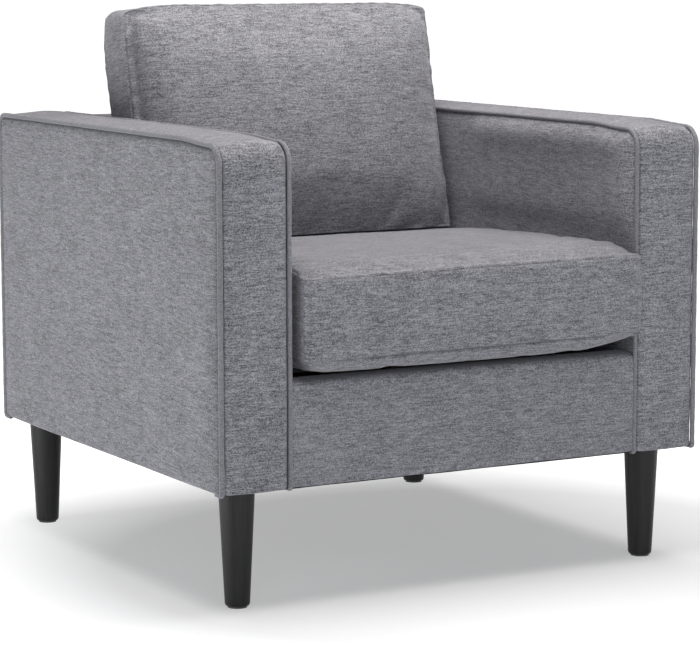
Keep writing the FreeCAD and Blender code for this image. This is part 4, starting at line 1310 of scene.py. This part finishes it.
# ------------------------------------------------------------------ carried-over CAD nodes
FINISH = {
    "arm_left_bottom_rail": M_PINE, "arm_left_front_board": M_PINE, "arm_left_rear_board": M_PINE, "arm_left_top_board": M_PINE,
    "arm_left_outer_board": M_HARD, "arm_left_inner_board": M_HARD, "seat_side_rail_left": M_PINE, "seat_side_rail_right": M_PINE,
    "front_rail": M_PINE, "rear_rail": M_PINE, "corner_blocks": M_PINE, "sinuous_springs": M_STEEL, "spring_clips": M_STEEL,
    "frame_bolts": M_STEEL, "back_side_panel_left": M_PINE, "back_side_panel_right": M_PINE, "back_top_rail": M_PINE,
    "back_lower_rail": M_PINE, "back_webbing": M_WEB, "back_outer_board": M_HARD, "leg_plates": M_STEEL,
    "leg_hanger_bolts": M_STEEL, "leg_glides": M_NYLON, "leg_plate_screws": M_STEEL,
}
for k in list(FINISH):
    if k.startswith("arm_left_"):
        FINISH[k.replace("left", "right")] = FINISH[k]
for n, o in NODES.items():
    if o.hide_render:
        continue
    o.data.materials.clear()
    o.data.materials.append(FINISH.get(n, M_PINE))

# ------------------------------------------------------------------ stage, lights, camera
def stage_material(name, colour, rough):
    m, nt, bsdf = new_material(name)
    bsdf.inputs["Base Color"].default_value = (*colour, 1)
    bsdf.inputs["Roughness"].default_value = rough
    bsdf.inputs["Specular IOR Level"].default_value = 0.25
    return m


fl = mesh_object("studio_floor", [(-40000, -40000, 0), (40000, -40000, 0), (40000, 40000, 0), (-40000, 40000, 0)], [(0, 1, 2, 3)], smooth=False)
fm = stage_material("floor_glow_painted_shadow", (0.445, 0.455, 0.465), 0.6)
# the floor glows: a painted shadow, dim round a point just right of and in front of the chair's middle, rising to white
# about a metre out
g = G(fm.node_tree)
tc = g.node("ShaderNodeTexCoord")
mp = g.node("ShaderNodeMapping")
mp.inputs["Location"].default_value = (-0.10, 0.22, 0)
g.link(tc.outputs["Object"], mp.inputs[0])
ln = g.node("ShaderNodeVectorMath", operation="LENGTH")
g.link(g.scale(mp.outputs[0], 1.0, 1.0, 0.0), ln.inputs[0])
fb = [n for n in fm.node_tree.nodes if n.type == "BSDF_PRINCIPLED"][0]
g.link(g.ramp(g.math("DIVIDE", ln.outputs["Value"], 1.6, clamp=True), [(0.0, (0.36, 0.36, 0.36)), (0.34, (0.40, 0.40, 0.40)), (0.62, (1.03, 1.03, 1.03)), (1.0, (1.06, 1.06, 1.06))]), fb.inputs["Emission Color"])
fb.inputs["Emission Strength"].default_value = 1.0
# seen from underneath, the floor lets the chair's underside show
geo, mixer, clear = g.node("ShaderNodeNewGeometry"), g.node("ShaderNodeMixShader"), g.node("ShaderNodeBsdfTransparent")
g.link(geo.outputs["Backfacing"], mixer.inputs[0])
g.link(fb.outputs[0], mixer.inputs[1])
g.link(clear.outputs[0], mixer.inputs[2])
g.link(mixer.outputs[0], [n for n in fm.node_tree.nodes if n.type == "OUTPUT_MATERIAL"][0].inputs[0])
fl.data.materials.append(fm)

world = bpy.data.worlds.new("studio")
SC.world = world
world.use_nodes = True
wn = world.node_tree
wn.nodes.clear()
wo = wn.nodes.new("ShaderNodeOutputWorld")
wb = wn.nodes.new("ShaderNodeBackground")
wb.inputs[0].default_value = (0.985, 0.99, 1.0, 1)
wb.inputs[1].default_value = 0.03
wn.links.new(wb.outputs[0], wo.inputs[0])

# a white dome that only the camera sees
bm = bmesh.new()
bmesh.ops.create_icosphere(bm, subdivisions=4, radius=38.0)
me = bpy.data.meshes.new("backdrop_dome")
bm.to_mesh(me)
bm.free()
dome = bpy.data.objects.new("backdrop_dome", me)
SC.collection.objects.link(dome)
dm = bpy.data.materials.new("backdrop_white")
dm.use_nodes = True
dn = dm.node_tree
dn.nodes.clear()
do_ = dn.nodes.new("ShaderNodeOutputMaterial")
de = dn.nodes.new("ShaderNodeEmission")
de.inputs[0].default_value = (1, 1, 1, 1)
de.inputs[1].default_value = 1.02
dn.links.new(de.outputs[0], do_.inputs[0])
me.materials.append(dm)
for flag in ("visible_diffuse", "visible_glossy", "visible_transmission", "visible_volume_scatter", "visible_shadow"):
    setattr(dome, flag, False)


def sun(name, direction, strength, angle, colour):
    l = bpy.data.lights.new(name, "SUN")
    l.energy = strength
    l.angle = math.radians(angle)
    l.color = colour
    o = bpy.data.objects.new(name, l)
    o.rotation_mode = "QUATERNION"
    o.rotation_quaternion = (-Vector(direction)).to_track_quat("-Z", "Y")
    SC.collection.objects.link(o)
    return o


def softbox(name, where, target, size, power, colour):
    l = bpy.data.lights.new(name, "AREA")
    l.shape, l.size, l.size_y, l.energy, l.color = "RECTANGLE", size[0], size[1], power, colour
    o = bpy.data.objects.new(name, l)
    o.location = where
    o.rotation_mode = "QUATERNION"
    o.rotation_quaternion = (Vector(target) - Vector(where)).to_track_quat("-Z", "Y")
    SC.collection.objects.link(o)
    return o


softbox("softbox_over", (0.08, -0.25, 2.2), (0, 0, 0.4), (2.0, 1.6), 86.0, (1.0, 0.968, 0.945))
softbox("softbox_low_left", (-2.0, 0.1, 0.2), (-0.4, 0, 0.3), (1.6, 0.4), 11.5, (0.97, 0.985, 1.0))
softbox("softbox_ground_left", (-1.3, 0.0, 0.03), (-0.4, 0, 0.2), (1.2, 0.3), 5.5, (0.97, 0.985, 1.0))
softbox("softbox_low_front", (-0.2, -2.0, 0.2), (-0.1, -0.3, 0.2), (1.6, 0.4), 7.0, (0.93, 0.95, 1.0))
softbox("softbox_low_right", (0.9, -2.0, 0.15), (0.35, -0.3, 0.25), (1.2, 0.3), 3.0, (0.93, 0.95, 1.0))
sun("front_fill", (-0.5, -1, 0.3), 0.82, 40, (0.90, 0.93, 1.0))

cam_data = bpy.data.cameras.new("camera")
cam_data.sensor_width = 36.0
cam_data.lens = 2753.83 / 700.0 * 36.0
cam_data.clip_start, cam_data.clip_end = 0.1, 200.0
cam = bpy.data.objects.new("camera", cam_data)
SC.collection.objects.link(cam)
cam.location = (-2.0520, -3.7132, 0.90977)
yaw, pitch, roll = math.radians(29.1329), math.radians(-7.7549), math.radians(-0.12)
fwd = Vector((math.sin(yaw) * math.cos(pitch), math.cos(yaw) * math.cos(pitch), math.sin(pitch)))
right = Vector((math.cos(yaw), -math.sin(yaw), 0))
up = right.cross(fwd)
right, up = math.cos(roll) * right + math.sin(roll) * up, -math.sin(roll) * right + math.cos(roll) * up
rot = Matrix((right, up, -fwd)).transposed()
cam.rotation_mode = "QUATERNION"
cam.rotation_quaternion = rot.to_quaternion()
SC.camera = cam
